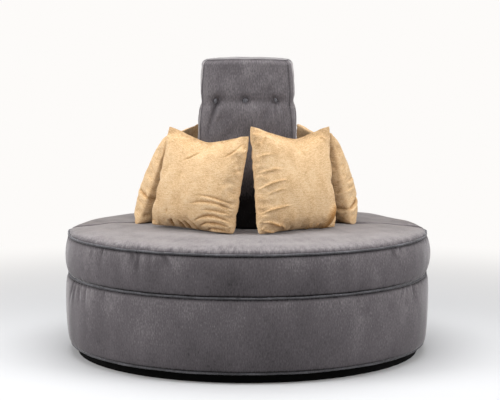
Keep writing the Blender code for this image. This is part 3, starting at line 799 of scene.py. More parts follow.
        # The deck: slight hollows of use, and gathers that run in from the rim.
        run = rim - radius[deck]
        seat = self.to_space(radius[deck], angle, height[deck])
        hollow = self.hollow_depth * waves(seat[..., 0], seat[..., 1], lengths=(0.14, 0.4), seed=11)
        at_rim, at_well = self.hollow_fade
        fade = np.clip(run / at_rim, 0, 1) * np.clip((radius[deck] - start) / at_well, 0, 1)
        gathers = Gathers(
            self.span,
            count=60,
            depth_mm=(0.1, 0.5),
            width_mm=(7, 13),
            length_mm=(16, 44),
            seed=21,
            lean=0.5,
        )
        height[deck] += hollow * fade + gathers.relief(arc[deck], run) * np.clip(run / 0.02, 0, 1)
        height[deck] -= self.roll_depth * self.edge_roll(radius[deck], angle)
        # The band: long soft waves, and puckers under the top welt and over the middle one.
        down, arcs = top - height[band], arc[band]
        calm = np.sin(math.pi * shares)[:, None] ** 0.5
        swell = self.upper_waves * waves(arcs, down * 0.35, lengths=(0.09, 0.32), seed=12) * calm
        bunches = ((-56, -48, 7), (-39, -31, 10), (-29, -24, 4), (48, 54, 6))
        swell += self.band_gathers(arcs, down, 31, bunches)
        lower = Gathers(
            self.span, count=60, depth_mm=(0.3, 0.8), width_mm=(6, 12), length_mm=(12, 30), seed=33
        )
        swell += lower.relief(arcs, (top - bottom) - down)
        radius[band] += swell
        outer = slice(band.start - 3, None)
        radius[outer] -= self.upper_pull * self.edge_roll(radius[outer], angle)
        pulled = self.horn(radius, angle, height)
        points = self.to_space(radius + pulled, angle, height + 0.5 * pulled)
        place = np.stack([arc, -np.cumsum(self.steps(points), axis=0), 0 * arc], axis=-1)
        place[deck] = np.stack([seat[..., 0], seat[..., 1] + 3.0, 0 * run], axis=-1)
        nap_and_shade = self.nap_waves * waves(arc, height * 0.5, lengths=(0.1, 0.4), seed=13) + 0 * radius
        nap_and_shade[deck] = self.deck_tone_and_shade(seat, arc[deck], run, np.abs(radius[deck] * np.sin(angle)))
        # Painted shade and highlight over the puckers, smudges with painted shade across the front,
        # and painted light and shade down the band.
        nap_and_shade[band] += self.upper_fold_painted_shade * swell + self.handled(arcs, down, top - bottom, 16)
        nap_and_shade[band] += self.brushed(down, top - bottom)
        name = f"{self.face}_seat_cover"
        return closed_mesh(name, points.transpose(1, 0, 2), place.transpose(1, 0, 2), nap_and_shade.T)

    def deck_tone_and_shade(self, seat: Array, arc: Array, run: Array, joint: Array) -> Array:
        """Deck tone: smudges of use, rim marks, painted light all over, painted shade at rim and
        joint.

        Args:
            seat: The deck's points.
            arc: Place round the deck, in metres from the front.
            run: Distance in from the rim.
            joint: Distance from the joint line.

        Returns:
            How much lighter each point is, in tone and painted light.
        """
        # Painted light over the whole deck, and painted shade along the rim and in the joint
        # between the halves; the waves and rim marks are the nap's own tone.
        nap_and_shade = 0.07 * waves(seat[..., 0], seat[..., 1], lengths=(0.05, 0.3), seed=14) + self.deck_painted_light
        nap_and_shade += 0.09 * waves(seat[..., 0] * 2.0, seat[..., 1] * 0.7, lengths=(0.03, 0.12), seed=17)
        marks = waves(arc, run * 0.4, lengths=(0.008, 0.03), seed=15)
        rim_marks = np.exp(-((run / 0.08) ** 2)) * marks
        nap_and_shade += 0.08 * rim_marks - 0.5 * np.exp(-((run / 0.012) ** 2))
        return nap_and_shade - 1.1 * np.exp(-((joint / 0.014) ** 2))

    @staticmethod
    def steps(points: Array) -> Array:
        """Distance from each row of points to the row before."""
        gaps = np.linalg.norm(np.diff(points, axis=0), axis=-1)
        return np.vstack([np.zeros((1, points.shape[1])), gaps])

    @property
    def span(self) -> tuple[float, float]:
        """The arc that the section covers, in metres round from the front."""
        middle = 0.0 if self.side < 0 else math.pi
        return (middle - math.pi / 2) * self.seat_radius, (middle + math.pi / 2) * self.seat_radius

    def band_gathers(
        self, arc: Array, down: Array, seed: int, bunches: Sequence[tuple[float, float, int]]
    ) -> Array:
        """Puckers under a welt: faint all round, and bunched where the cover was eased on.

        Args:
            arc: Place round the band, in metres from the front.
            down: Distance below the welt.
            seed: Picks the puckers.
            bunches: From and to angles in degrees, and how many folds lie between.

        Returns:
            The relief at each point, in metres.
        """
        faint = Gathers(
            self.span,
            count=70,
            depth_mm=(0.2, 0.6),
            width_mm=(6, 13),
            length_mm=(14, 36),
            seed=seed,
        )
        total = faint.relief(arc, down)
        for number, (start, end, count) in enumerate(bunches):
            places = (math.radians(start) * self.seat_radius, math.radians(end) * self.seat_radius)
            bunch = Gathers(
                places,
                count,
                depth_mm=(1.8, 4.2),
                width_mm=(5, 9),
                length_mm=(24, 80),
                seed=seed + 1 + number,
                lean=0.7,
            )
            total += bunch.relief(arc, down)
        return total

    @staticmethod
    def brushed(down: Array, depth: float) -> Array:
        """Painted light and shade down a band: lighter at its top, dark where it dives behind a
        welt.

        Args:
            down: Distance below the welt.
            depth: How deep the band is.

        Returns:
            How much lighter each point is drawn.
        """
        behind = np.exp(-((down / 0.006) ** 2)) + np.exp(-(((depth - down) / 0.006) ** 2))
        return 0.16 - 0.5 * down / depth - 1.2 * behind

    def handled(self, arc: Array, down: Array, depth: float, seed: int) -> Array:
        """Smudges where hands and legs brushed the nap, most darker, and painted shade across the
        front.

        Args:
            arc: Place round the band, in metres from the front.
            down: Distance below the welt.
            depth: How deep the band is.
            seed: Picks the smudges.

        Returns:
            How much lighter each point is drawn.
        """
        random = np.random.default_rng(seed)
        # A slight lift all round, and painted shade across the middle of the front.
        total = 0.1 - 0.26 * np.exp(-((arc / 0.4) ** 2)) + 0 * down
        for _ in range(30):
            place, level = random.uniform(*self.span), random.uniform(0.0, 0.7) * depth
            wide, high = random.uniform(0.012, 0.045), random.uniform(0.014, 0.05)
            strength = random.uniform(-0.26, 0.12)
            aside, under = (arc - place) / wide, (down - level) / high
            total += strength * np.exp(-(aside**2) - under**2)
        return total

    def lower_band(self) -> bpy.types.Mesh:
        """Build the padded cover over the timber frame, between the middle and bottom welts.

        Returns:
            A closed mesh.
        """
        angle = self.angles()[None, :]
        top = self.middle_welt - self.welt_radius
        bottom = self.bottom_welt + self.welt_radius
        inner = self.frame_radius + self.frame_gap
        lid = self.middle_welt - 2 * self.touch
        rows = [(inner, lid), (self.groove - self.tuck, lid)]
        shares = self.down_shares(46)
        band = slice(len(rows), len(rows) + len(shares))
        for share in shares:
            line = self.groove - self.bottom_inset * share
            swell = self.bulge(share, self.lower_swell, 0.25)
            rows.append((line + swell, top + (bottom - top) * share))
        edge = self.groove - self.bottom_inset - self.tuck
        foot = self.bottom_welt - self.band_foot
        rows += [(edge, self.bottom_welt), (edge, foot), (inner, foot)]
        radius, height = self.stacked(rows, angle)
        arc = self.facing(angle) * self.seat_radius + 0 * radius
        down, arcs = top - height[band], arc[band]
        calm = np.sin(math.pi * shares)[:, None] ** 0.5
        swell = self.lower_waves * waves(arcs, down * 0.3, lengths=(0.1, 0.4), seed=42) * calm
        swell += self.band_gathers(arcs, down, 51, ((-69, -47, 15), (54, 63, 6)))
        low = Gathers(
            self.span, count=60, depth_mm=(0.2, 0.6), width_mm=(6, 12), length_mm=(10, 24), seed=57
        )
        swell += low.relief(arcs, (top - bottom) - down)
        radius[band] += swell
        outer = radius[1:] > inner + 0.01
        radius[1:] -= self.lower_pull * self.edge_roll(radius[1:], angle) * outer
        points = self.to_space(radius, angle, height)
        place = np.stack([arc, height - 1.0, 0 * arc], axis=-1)
        nap_and_shade = self.nap_waves * waves(arc, height * 0.5, lengths=(0.1, 0.4), seed=43) + 0 * radius
        # Painted shade and highlight over the puckers, smudges with painted shade across the front,
        # and painted light and shade down the band.
        nap_and_shade[band] += self.lower_fold_painted_shade * swell + self.handled(arcs, down, top - bottom, 44)
        nap_and_shade[band] += self.brushed(down, top - bottom)
        name = f"{self.face}_band_cover"
        return closed_mesh(name, points.transpose(1, 0, 2), place.transpose(1, 0, 2), nap_and_shade.T)

    def welt(self, level: str, height: float, inset: float, seed: int) -> bpy.types.Mesh:
        """Build one welt: a cord in a bias strip, with its line wandering a little.

        Args:
            level: Its name's middle word.
            height: Height of its centre line.
            inset: How far it stands in from the top welt.
            seed: Picks how it wanders.

        Returns:
            A closed mesh.
        """
        angle = self.angles()[:, None]
        turn = np.linspace(0, math.tau, 12, endpoint=False)[None, :]
        arc = self.facing(angle) * self.seat_radius
        rise = self.welt_wander * waves(arc, 0 * arc, lengths=(0.08, 0.3), seed=seed)
        lumps = self.welt_lumps * waves(arc, 0 * arc, lengths=(0.008, 0.03), seed=seed + 1)
        thick = self.welt_radius * (1 + lumps)
        radius = self.ring - inset + thick * np.cos(turn) + self.touch
        level_z = height + rise + thick * np.sin(turn)
        pulled = self.horn(radius, angle, level_z)
        radius = radius - self.welt_pull * self.edge_roll(radius, angle) + pulled
        points = self.to_space(radius, angle + 0 * turn, level_z + 0.5 * pulled)
        arcs = arc + 0 * turn
        place = np.stack([arcs, turn * self.welt_radius + 5 + 0 * arcs, 0 * arcs], axis=-1)
        worn = waves(arcs, 0 * arcs, lengths=(0.02, 0.2), seed=seed + 2)
        # Painted light on the cord's upper half and painted shade on its lower half, over a little
        # random wear along it.
        nap_and_shade = 0.5 * np.sin(turn) - 0.1 + 0.1 * worn
        return closed_mesh(f"{self.face}_{level}_welt_cord", points, place, nap_and_shade)

    def build(self, dresser: Dresser) -> None:
        """Build and dress the section's soft pieces.

        Args:
            dresser: Puts the pieces into the scene.
        """
        face, body = self.face, self.body.value
        dresser.add(self.cushion(), Slot.VELVET, body, (f"{face}_seat_cushion",), fill=0.85)
        dresser.add(self.lower_band(), Slot.VELVET, body, (f"{face}_lower_band",), fill=0.9)
        levels = {
            "top": (self.top_welt, 0.0),
            "middle": (self.middle_welt, 0.0),
            "bottom": (self.bottom_welt, self.bottom_inset + 0.0015),
        }
        for number, (level, (height, inset)) in enumerate(levels.items()):
            cord = self.welt(level, height, inset, 60 + 5 * number)
            dresser.add(cord, Slot.WELT, body, (f"{face}_{level}_welt",))


@dataclass
class CentreColumn:
    """The tapered square column: four tufted pads, a crowned top pad and twelve buttons."""

    base: float = 0.5315
    base_half: float = 0.225
    top_half: float = 0.187
    height: float = 1.2265
    pad: float = 0.035
    crown: float = 0.008
    corner: float = 0.035
    top_roll: float = 0.022
    button_height: float = 1.055
    button_pitch: float = 0.118
    button_shift: float = -0.007
    button_radius: float = 0.0125
    button_thickness: float = 0.008
    tuck_depth: float = 0.0045
    tuck_width: float = 0.020
    button_pull: float = 0.0125
    seam_angle: float = 30.0
    touch: float = 0.0003
    padding: float = 0.0024
    droop: float = 0.018
    swell: float = 0.0025
    swell_above: float = 0.075
    swell_below: float = 0.085
    swell_reach: float = 0.055
    pinch: tuple[float, float] = (0.0035, 0.0015)
    tuck_end: float = 0.175
    tuck_fade: float = 0.05
    pull_reach: float = 0.011
    fine_rows: tuple[float, float] = (0.94, 1.17)
    # Painted shadow over the foot: the height it begins below and the drop over which it grows
    # full.
    painted_foot_shadow_span: tuple[float, float] = (0.78, 0.14)
    soft_waves: float = 0.0015
    top_waves: float = 0.0009
    upper_pleat: tuple[float, float] = (0.0022, 0.008)
    nap_waves: float = 0.05
    # Painted shade in the pleats and where the cover is drawn in, and a dark spot below and left of
    # the left button.
    painted_pleat_shade: float = 34.0
    painted_tuck_shade: float = 5.0
    dark_spot_place: tuple[float, float] = (-0.138, 1.035)
    dark_spot_size: tuple[float, float] = (0.014, 0.02)
    dark_spot_strength: float = 0.5
    painted_foot_shadow: float = 1.6
    strip_columns: int = 10
    face_columns: int = 84
    button_back: float = 0.0008

    def line(self, z: Array | float) -> Array | float:
        """Half width of the column before its padding swells."""
        share = (z - self.base) / (self.height - self.base)
        return self.base_half + (self.top_half - self.base_half) * share

    def half(self, z: Array | float, share: Array | float = 0.0) -> Array | float:
        """Work out half the width of the padded column, full above and below the pinched tuck.

        Args:
            z: Height above the floor.
            share: Share of the way from the middle of a face to its edge.

        Returns:
            The half width.
        """
        rise = z - self.button_height + self.droop * share * share
        swell = np.exp(-(((rise - self.swell_above) / self.swell_reach) ** 2)) + np.exp(
            -(((rise + self.swell_below) / self.swell_reach) ** 2)
        )
        middle, less = self.pinch
        pinch = (middle - less * share * share) * np.exp(-((rise / self.tuck_width) ** 2))
        full = self.padding * np.clip((z - self.base) / 0.12, 0, 1)
        return self.line(z) + full + self.swell * swell - pinch

    def drawn_in(self, x: Array, z: Array) -> Array:
        """How far the cover is drawn in by the tuck and by the buttons.

        Args:
            x: Place across the face, in metres.
            z: Height, in metres.

        Returns:
            The depth at each point, in metres.
        """
        rise = z - self.button_height
        calm = np.clip((self.tuck_end - np.abs(x)) / self.tuck_fade, 0, 1)
        depth = self.tuck_depth * calm * np.exp(-(np.abs(rise / self.tuck_width) ** 1.8))
        for place in (-self.button_pitch, 0.0, self.button_pitch):
            reach = np.hypot(x - place - self.button_shift, rise)
            away = np.maximum(reach - self.button_radius, 0)
            depth = depth + self.button_pull * np.exp(-((away / self.pull_reach) ** 1.2))
        return depth

    @staticmethod
    def pleat_fade(run: Array, length: float) -> Array:
        """How a pleat fades along its length, starting a little off the row of buttons."""
        return np.exp(-((run / length) ** 2)) * (run > 0) * (1 - np.exp(-((run / 0.012) ** 2)))

    def pleats(self, x: Array, z: Array) -> Array:
        """Relief of the folds that run from the buttons, and of the soft cover between.

        Args:
            x: Place across the face, in metres.
            z: Height, in metres.

        Returns:
            The height of the folds, in metres.
        """
        rise = z - self.button_height
        total = self.soft_waves * waves(x, z * 0.6, lengths=(0.04, 0.2), seed=71)
        x = x - self.button_shift
        # Place across, lean, length, depth and width of the folds below the buttons.
        folds = (
            (-0.118, -0.30, 0.14, 0.0100, 0.010),
            (-0.128, -0.95, 0.05, 0.0034, 0.007),
            (-0.112, 0.35, 0.05, 0.0024, 0.008),
            (0.0, 0.05, 0.045, 0.0024, 0.008),
            (0.0, -0.6, 0.035, 0.0016, 0.008),
            (0.118, 0.10, 0.075, 0.0055, 0.007),
            (0.124, 0.75, 0.06, 0.0026, 0.008),
            (0.112, -0.55, 0.05, 0.0022, 0.008),
        )
        for start, lean, length, depth, width in folds:
            below = -rise
            fade = self.pleat_fade(below, length)
            away = np.abs((x - start - lean * below) / width)
            rolled = 0.5 * np.exp(-(((away - 1.8) / 1.1) ** 2)) - np.exp(-(away**1.6))
            total += fade * depth * rolled
        # Place across, lean and length of the folds above them.
        above = (
            (-0.118, 0.35, 0.045),
            (-0.118, -0.5, 0.03),
            (0.118, -0.3, 0.05),
            (0.0, 0.25, 0.035),
        )
        deep, wide = self.upper_pleat
        for start, lean, length in above:
            fade = self.pleat_fade(rise, length)
            total -= deep * fade * np.exp(-(((x - start - lean * rise) / wide) ** 2))
        return total

    @staticmethod
    def corner_drop(x: Array, y: Array) -> Array:
        """How far the cover's top corners are pulled down."""
        reach = np.abs(x) + np.abs(y)
        return 0.007 * np.clip((reach - 0.23) / 0.12, 0, 1) ** 2

    def seam_strip(
        self, start: float, end: float, edge: Array, relief: Array, seam_at_end: bool
    ) -> Array:
        """Run the cover round a corner from one angle to another.

        Args:
            start: First angle from the face's own direction, in degrees.
            end: Last angle, in degrees.
            edge: Where the flat of the face ends, by row.
            relief: The face's relief at that edge, by row.
            seam_at_end: Whether the corner seam lies at the last angle and not at the first.

        Returns:
            Points in the face's frame, by row and column.
        """
        turns = np.radians(np.linspace(start, end, self.strip_columns))[None, :]
        seam = turns[:, -1:] if seam_at_end else turns[:, :1]
        tuck = 0.003 * np.exp(-(((turns - seam) * self.corner / 0.003) ** 2))
        reach = self.corner - tuck
        x = edge + (reach + 0.4 * relief) * np.sin(turns)
        y = edge + (reach + relief * np.cos(turns) ** 2) * np.cos(turns)
        gap = np.where(turns == seam, self.touch, 0.0)
        along = gap * (1 if seam_at_end else -1)
        return np.stack([x - along * np.cos(turns), -(y + along * np.sin(turns))], axis=-1)

    def pad_mesh(self, face: str, number: int) -> bpy.types.Mesh:
        """Build one face's tufted pad, wrapped round its left corner to the next face's seam.

        Args:
            face: The face's name.
            number: Quarter turns round from the front.

        Returns:
            A closed mesh.
        """
        roll_start = self.height - self.top_roll
        fine_from, fine_to = self.fine_rows
        turns = np.radians([10, 20, 30, 40, 50, 60, 70])
        heights = np.concatenate(
            [
                np.linspace(self.base, fine_from, 40, endpoint=False),
                np.linspace(fine_from, fine_to, 66, endpoint=False),
                np.linspace(fine_to, roll_start, 8),
                roll_start + self.top_roll * np.sin(turns),
            ]
        )
        insets = np.zeros(len(heights))
        insets[-len(turns) :] = self.top_roll * (1 - np.cos(turns))
        z, inset = heights[:, None], insets[:, None]
        shares = np.linspace(-1, 1, self.face_columns)[None, :]
        edge = self.half(z, 1.0) - inset - self.crown - self.corner
        x = shares * edge
        low = np.clip((z - self.base) / 0.05, 0, 1)
        pleated = self.pleats(x, z) * np.clip((1.1 - np.abs(shares)) / 0.25, 0, 1) * low
        drawn = self.drawn_in(x, z)
        relief = pleated - drawn
        depth = self.half(z, shares) - inset - self.crown * shares**2 + relief
        flat = np.stack([x + 0 * depth, -depth], axis=-1)
        mirror = np.array([-1, 1])
        right = self.seam_strip(4, self.seam_angle, edge, relief[:, -1:], True)
        left = self.seam_strip(90 - self.seam_angle, 4, edge, relief[:, :1], False) * mirror
        back = self.line(z) - self.pad + self.touch
        core = np.stack([back, -back], axis=-1)
        ring = np.concatenate([left, flat, right, core, core * mirror], axis=1)
        drop = self.corner_drop(ring[..., 0], ring[..., 1]) * np.clip((z - fine_to) / 0.05, 0, 1)
        loops = np.concatenate([ring, (z - drop)[..., None]], axis=-1)
        # The cloth's place across is measured along one row, just below the buttons.
        measured = ring[60]
        gaps = np.linalg.norm(np.diff(measured, axis=0), axis=-1)
        across = np.concatenate([[0.0], np.cumsum(gaps)])
        across = across[None, :] - across.mean() + 0 * z
        place = np.stack([across + number * 2.0, z - 3.0 + 0 * across, 0 * across], axis=-1)
        # Tone and painted light: a dark spot below and left of the left button, painted shade in
        # the pleats and where the tuck and buttons draw the cover in, darker towards the corner
        # seams, painted shadow over the foot, painted shade along the top edge, and painted light
        # on the rounded corners.
        seam_column = self.strip_columns + self.face_columns
        nap_and_shade = self.nap_waves * waves(across, z * 0.5, lengths=(0.08, 0.3), seed=81 + number)
        (spot_x, spot_z), (wide, high) = self.dark_spot_place, self.dark_spot_size
        dark_spot = np.exp(-(((x - spot_x) / wide) ** 2) - ((z - spot_z) / high) ** 2)
        # Painted shade in the pleats and drawn-in places, with painted highlight on the pleats'
        # rolls.
        shade = self.painted_pleat_shade * pleated - self.painted_tuck_shade * drawn
        nap_and_shade[:, self.strip_columns : seam_column] += shade - self.dark_spot_strength * dark_spot
        seam_dark = np.linspace(0, 1, self.strip_columns)[None, :] ** 4
        nap_and_shade[:, seam_column : seam_column + self.strip_columns] -= 0.6 * seam_dark
        nap_and_shade[:, :3] -= np.array([[0.5, 0.3, 0.1]])
        foot_from, foot_run = self.painted_foot_shadow_span
        # Painted shadow over the foot, where the pillows shade it, on a slight lift all over.
        nap_and_shade += 0.1 - self.painted_foot_shadow * np.clip((foot_from - z) / foot_run, 0, 1)
        # Painted shade along the top edge.
        nap_and_shade -= 0.5 * np.clip((z - self.height + 0.007) / 0.004, 0, 1)
        # Painted light on the rounded corners.
        nap_and_shade += 0.10 * np.clip((np.abs(ring[..., 0]) - edge) / 0.02, 0, 1)
        spin = np.array(Matrix.Rotation(number * math.pi / 2, 3, "Z"))
        return closed_mesh(f"column_{face}_cover", loops @ spin.T, place, nap_and_shade)

    def top_outline(self, inset: float) -> Array:
        """Outline of the column's top: a square with round corners, crowned as the faces are.

        Args:
            inset: How far in from the faces it lies.

        Returns:
            Points in order round the column.
        """
        half = float(self.half(self.height, 1.0)) - inset - self.crown
        turns = np.linspace(0, math.pi / 2, 10)
        corner = np.column_stack([np.cos(turns), np.sin(turns)]) * self.corner + half - self.corner
        shares = np.linspace(-1, 1, 28)[1:-1]
        crowned = half + self.crown * (1 - shares**2)
        side = np.column_stack([-shares * (half - self.corner), crowned])
        quarter = np.concatenate([corner, side])
        spins = [np.array(Matrix.Rotation(n * math.pi / 2, 2)) for n in range(4)]
        return np.concatenate([quarter @ spin.T for spin in spins])

    def top_mesh(self) -> bpy.types.Mesh:
        """Build the crowned square pad that closes the top, its edge tucked to the four faces.

        Returns:
            A closed mesh.
        """
        outline = self.top_outline(self.top_roll * 0.58)
        level = self.height - 0.0042
        # Share of the outline and rise of each ring: under the edge, over it, and up the crown.
        rings = [(0.02, -0.002), (0.95, -0.002), (0.985, -0.0018)]
        rings += [(1.0, -0.0002), (1.003, 0.0016), (0.998, 0.0034)]
        rings += [
            (share, 0.0045 + 0.0088 * (1 - share**2.4) ** 0.8)
            for share in (0.985, 0.96, 0.92, 0.86, 0.78, 0.68, 0.56, 0.42, 0.27, 0.12, 0.02)
        ]
        rows = []
        for share, rise in rings:
            xy = outline * share
            drop = self.corner_drop(outline[:, 0], outline[:, 1])
            z = level + rise - drop * max(0.0, share * 2.5 - 1.5)
            if rise > 0.003:
                soft = waves(xy[:, 0], xy[:, 1], lengths=(0.06, 0.2), seed=91)
                z = z + self.top_waves * soft * (1 - share**6)
            rows.append(np.column_stack([xy, z]))
        points = np.array(rows)
        place = points * np.array([1, 1, 0]) + np.array([9.0, 0, 0])
        nap = waves(points[..., 0], points[..., 1], lengths=(0.08, 0.3), seed=92)
        # Painted shade over the whole top pad, on the nap's own waves.
        nap_and_shade = self.nap_waves * nap - 0.45
        return closed_mesh("column_top_cover", points, place, nap_and_shade)

    def button_mesh(self, name: str, seed: int) -> bpy.types.Mesh:
        """Build a covered button along +Z: a dome of velvet gathered round its back edge.

        Args:
            name: The mesh's name.
            seed: Picks its wrinkles.

        Returns:
            A closed mesh.
        """
        radius, thick = self.button_radius, self.button_thickness
        # Radius and height of each ring, as shares of the button's own.
        profile = np.array(
            [(0.02, 0.0), (0.8, 0.0), (0.93, 0.2), (1.0, 0.42), (0.97, 0.6)]
            + [(0.86, 0.76), (0.68, 0.88), (0.45, 0.95), (0.22, 0.99), (0.03, 1.0)]
        )
        turn = np.linspace(0, math.tau, 32, endpoint=False)[None, :]
        share, rise = profile[:, :1], profile[:, 1:]
        gathered = np.exp(-(((rise - 0.3) / 0.3) ** 2)) * (share > 0.5)
        pleat = 1 + 0.035 * np.cos(turn * 9 + seed) * gathered
        x = radius * share * np.cos(turn) * pleat
        y = radius * share * np.sin(turn) * pleat
        points = np.stack(np.broadcast_arrays(x, y, thick * rise), axis=-1)
        place = points * np.array([1, 1, 0]) + np.array([11.0 + seed, 0, 0])
        nap_and_shade = 0.55 + 0 * points[..., 0]
        return closed_mesh(name, points, place, nap_and_shade)

    def button_places(self, nodes: dict[str, bpy.types.Object]) -> dict[str, Matrix]:
        """Find where each CAD button sits and which way it faces.

        Args:
            nodes: The CAD nodes by name.

        Returns:
            A matrix for each button's node, its Z axis pointing out of the face.
        """
        found = {}
        faces = {"front": (0, -1, 0), "right": (1, 0, 0), "back": (0, 1, 0), "left": (-1, 0, 0)}
        for face, direction in faces.items():
            for place in ("left", "middle", "right"):
                name = f"{face}_{place}_button"
                points = np.array([v.co for v in nodes[name].data.vertices])
                reach = points @ np.array(direction, float)
                back = points[reach < reach.min() + self.button_back].mean(0)
                facing = Vector(points.mean(0) - back).normalized()
                turn = facing.to_track_quat("Z", "Y").to_matrix().to_4x4()
                found[name] = Matrix.Translation(Vector(back)) @ turn
        return found

    def build(self, dresser: Dresser, nodes: dict[str, bpy.types.Object]) -> None:
        """Build and dress the column's soft pieces.

        Args:
            dresser: Puts the pieces into the scene.
            nodes: The CAD nodes by name.
        """
        body = Body.COLUMN.value
        for number, face in enumerate(("front", "right", "back", "left")):
            mesh = self.pad_mesh(face, number)
            dresser.add(mesh, Slot.VELVET, body, (f"column_{face}_pad",), fill=0.8)
        dresser.add(self.top_mesh(), Slot.VELVET, body, ("column_top_pad",), fill=0.8)
        for seed, (name, place) in enumerate(self.button_places(nodes).items()):
            mesh = self.button_mesh(f"{name}_cover", seed)
            mesh.transform(place)
            dresser.add(mesh, Slot.WELT, body, (name,))


@dataclass(frozen=True)
class Crease:
    """A fold across a pillow's face, between two places in shares of its half width.

    The cover is drawn in along the fold and stands out in a roll on either side. The larger
    roll is below a fold that runs to the right, or above it where the roll side is -1.
    """

    start: tuple[float, float]
    end: tuple[float, float]
    depth_mm: float
    width_mm: float = 8.0
    bend: float = 0.0
    roll_side: int = 1
    deepening: float = 1.7
    rolls: tuple[float, float] = (0.18, 0.08)
    end_fade_mm: float = 10.0

    def relief(self, across: Array, up: Array, half: float) -> Array:
        """Work out how far the fold draws the cover in, and its rolled sides stand out.

        Args:
            across: Place across the face, in metres.
            up: Place up the face, in metres.
            half: Half the pillow's width.

        Returns:
            The height at each point, in metres.
        """
        start, end = np.array(self.start) * half, np.array(self.end) * half
        length = float(np.hypot(*(end - start)))
        way = (end - start) / length
        along = ((across - start[0]) * way[0] + (up - start[1]) * way[1]) / length
        aside = (up - start[1]) * way[0] - (across - start[0]) * way[1]
        inside = np.clip(along, 0, 1)
        aside = aside - self.bend * length * 4 * inside * (1 - inside)
        beyond = (along - inside) * length
        width = self.width_mm * MM * (0.5 + 0.4 * np.sin(math.pi * inside))
        ends = np.exp(-((beyond / (self.end_fade_mm * MM)) ** 2))
        fade = np.sin(math.pi * np.clip(along, 0.02, 0.98)) ** 0.6 * ends
        away = np.abs(aside) / width
        swollen = np.where(aside * self.roll_side < 0, *self.rolls)
        rolled = swollen * np.exp(-(((away - 2.6) / 1.7) ** 2)) - np.exp(-(away**1.2))
        return self.deepening * self.depth_mm * MM * fade * rolled


class Stance(NamedTuple):
    """How far out a pillow's top and foot rest, and how far its top bows in to the column."""

    top_reach: float
    foot_reach: float
    bow: float


# How the tan cover moves as it is stuffed.
TAN_COVER_CLOTH: dict[str, float | bool] = {
    "quality": 5,
    "mass": 0.2,
    "tension_stiffness": 25,
    "compression_stiffness": 25,
    "shear_stiffness": 8,
    "bending_stiffness": 0.25,
    "tension_damping": 10,
    "compression_damping": 10,
    "air_damping": 3,
    "use_pressure": True,
    "uniform_pressure_force": 4.0,
}


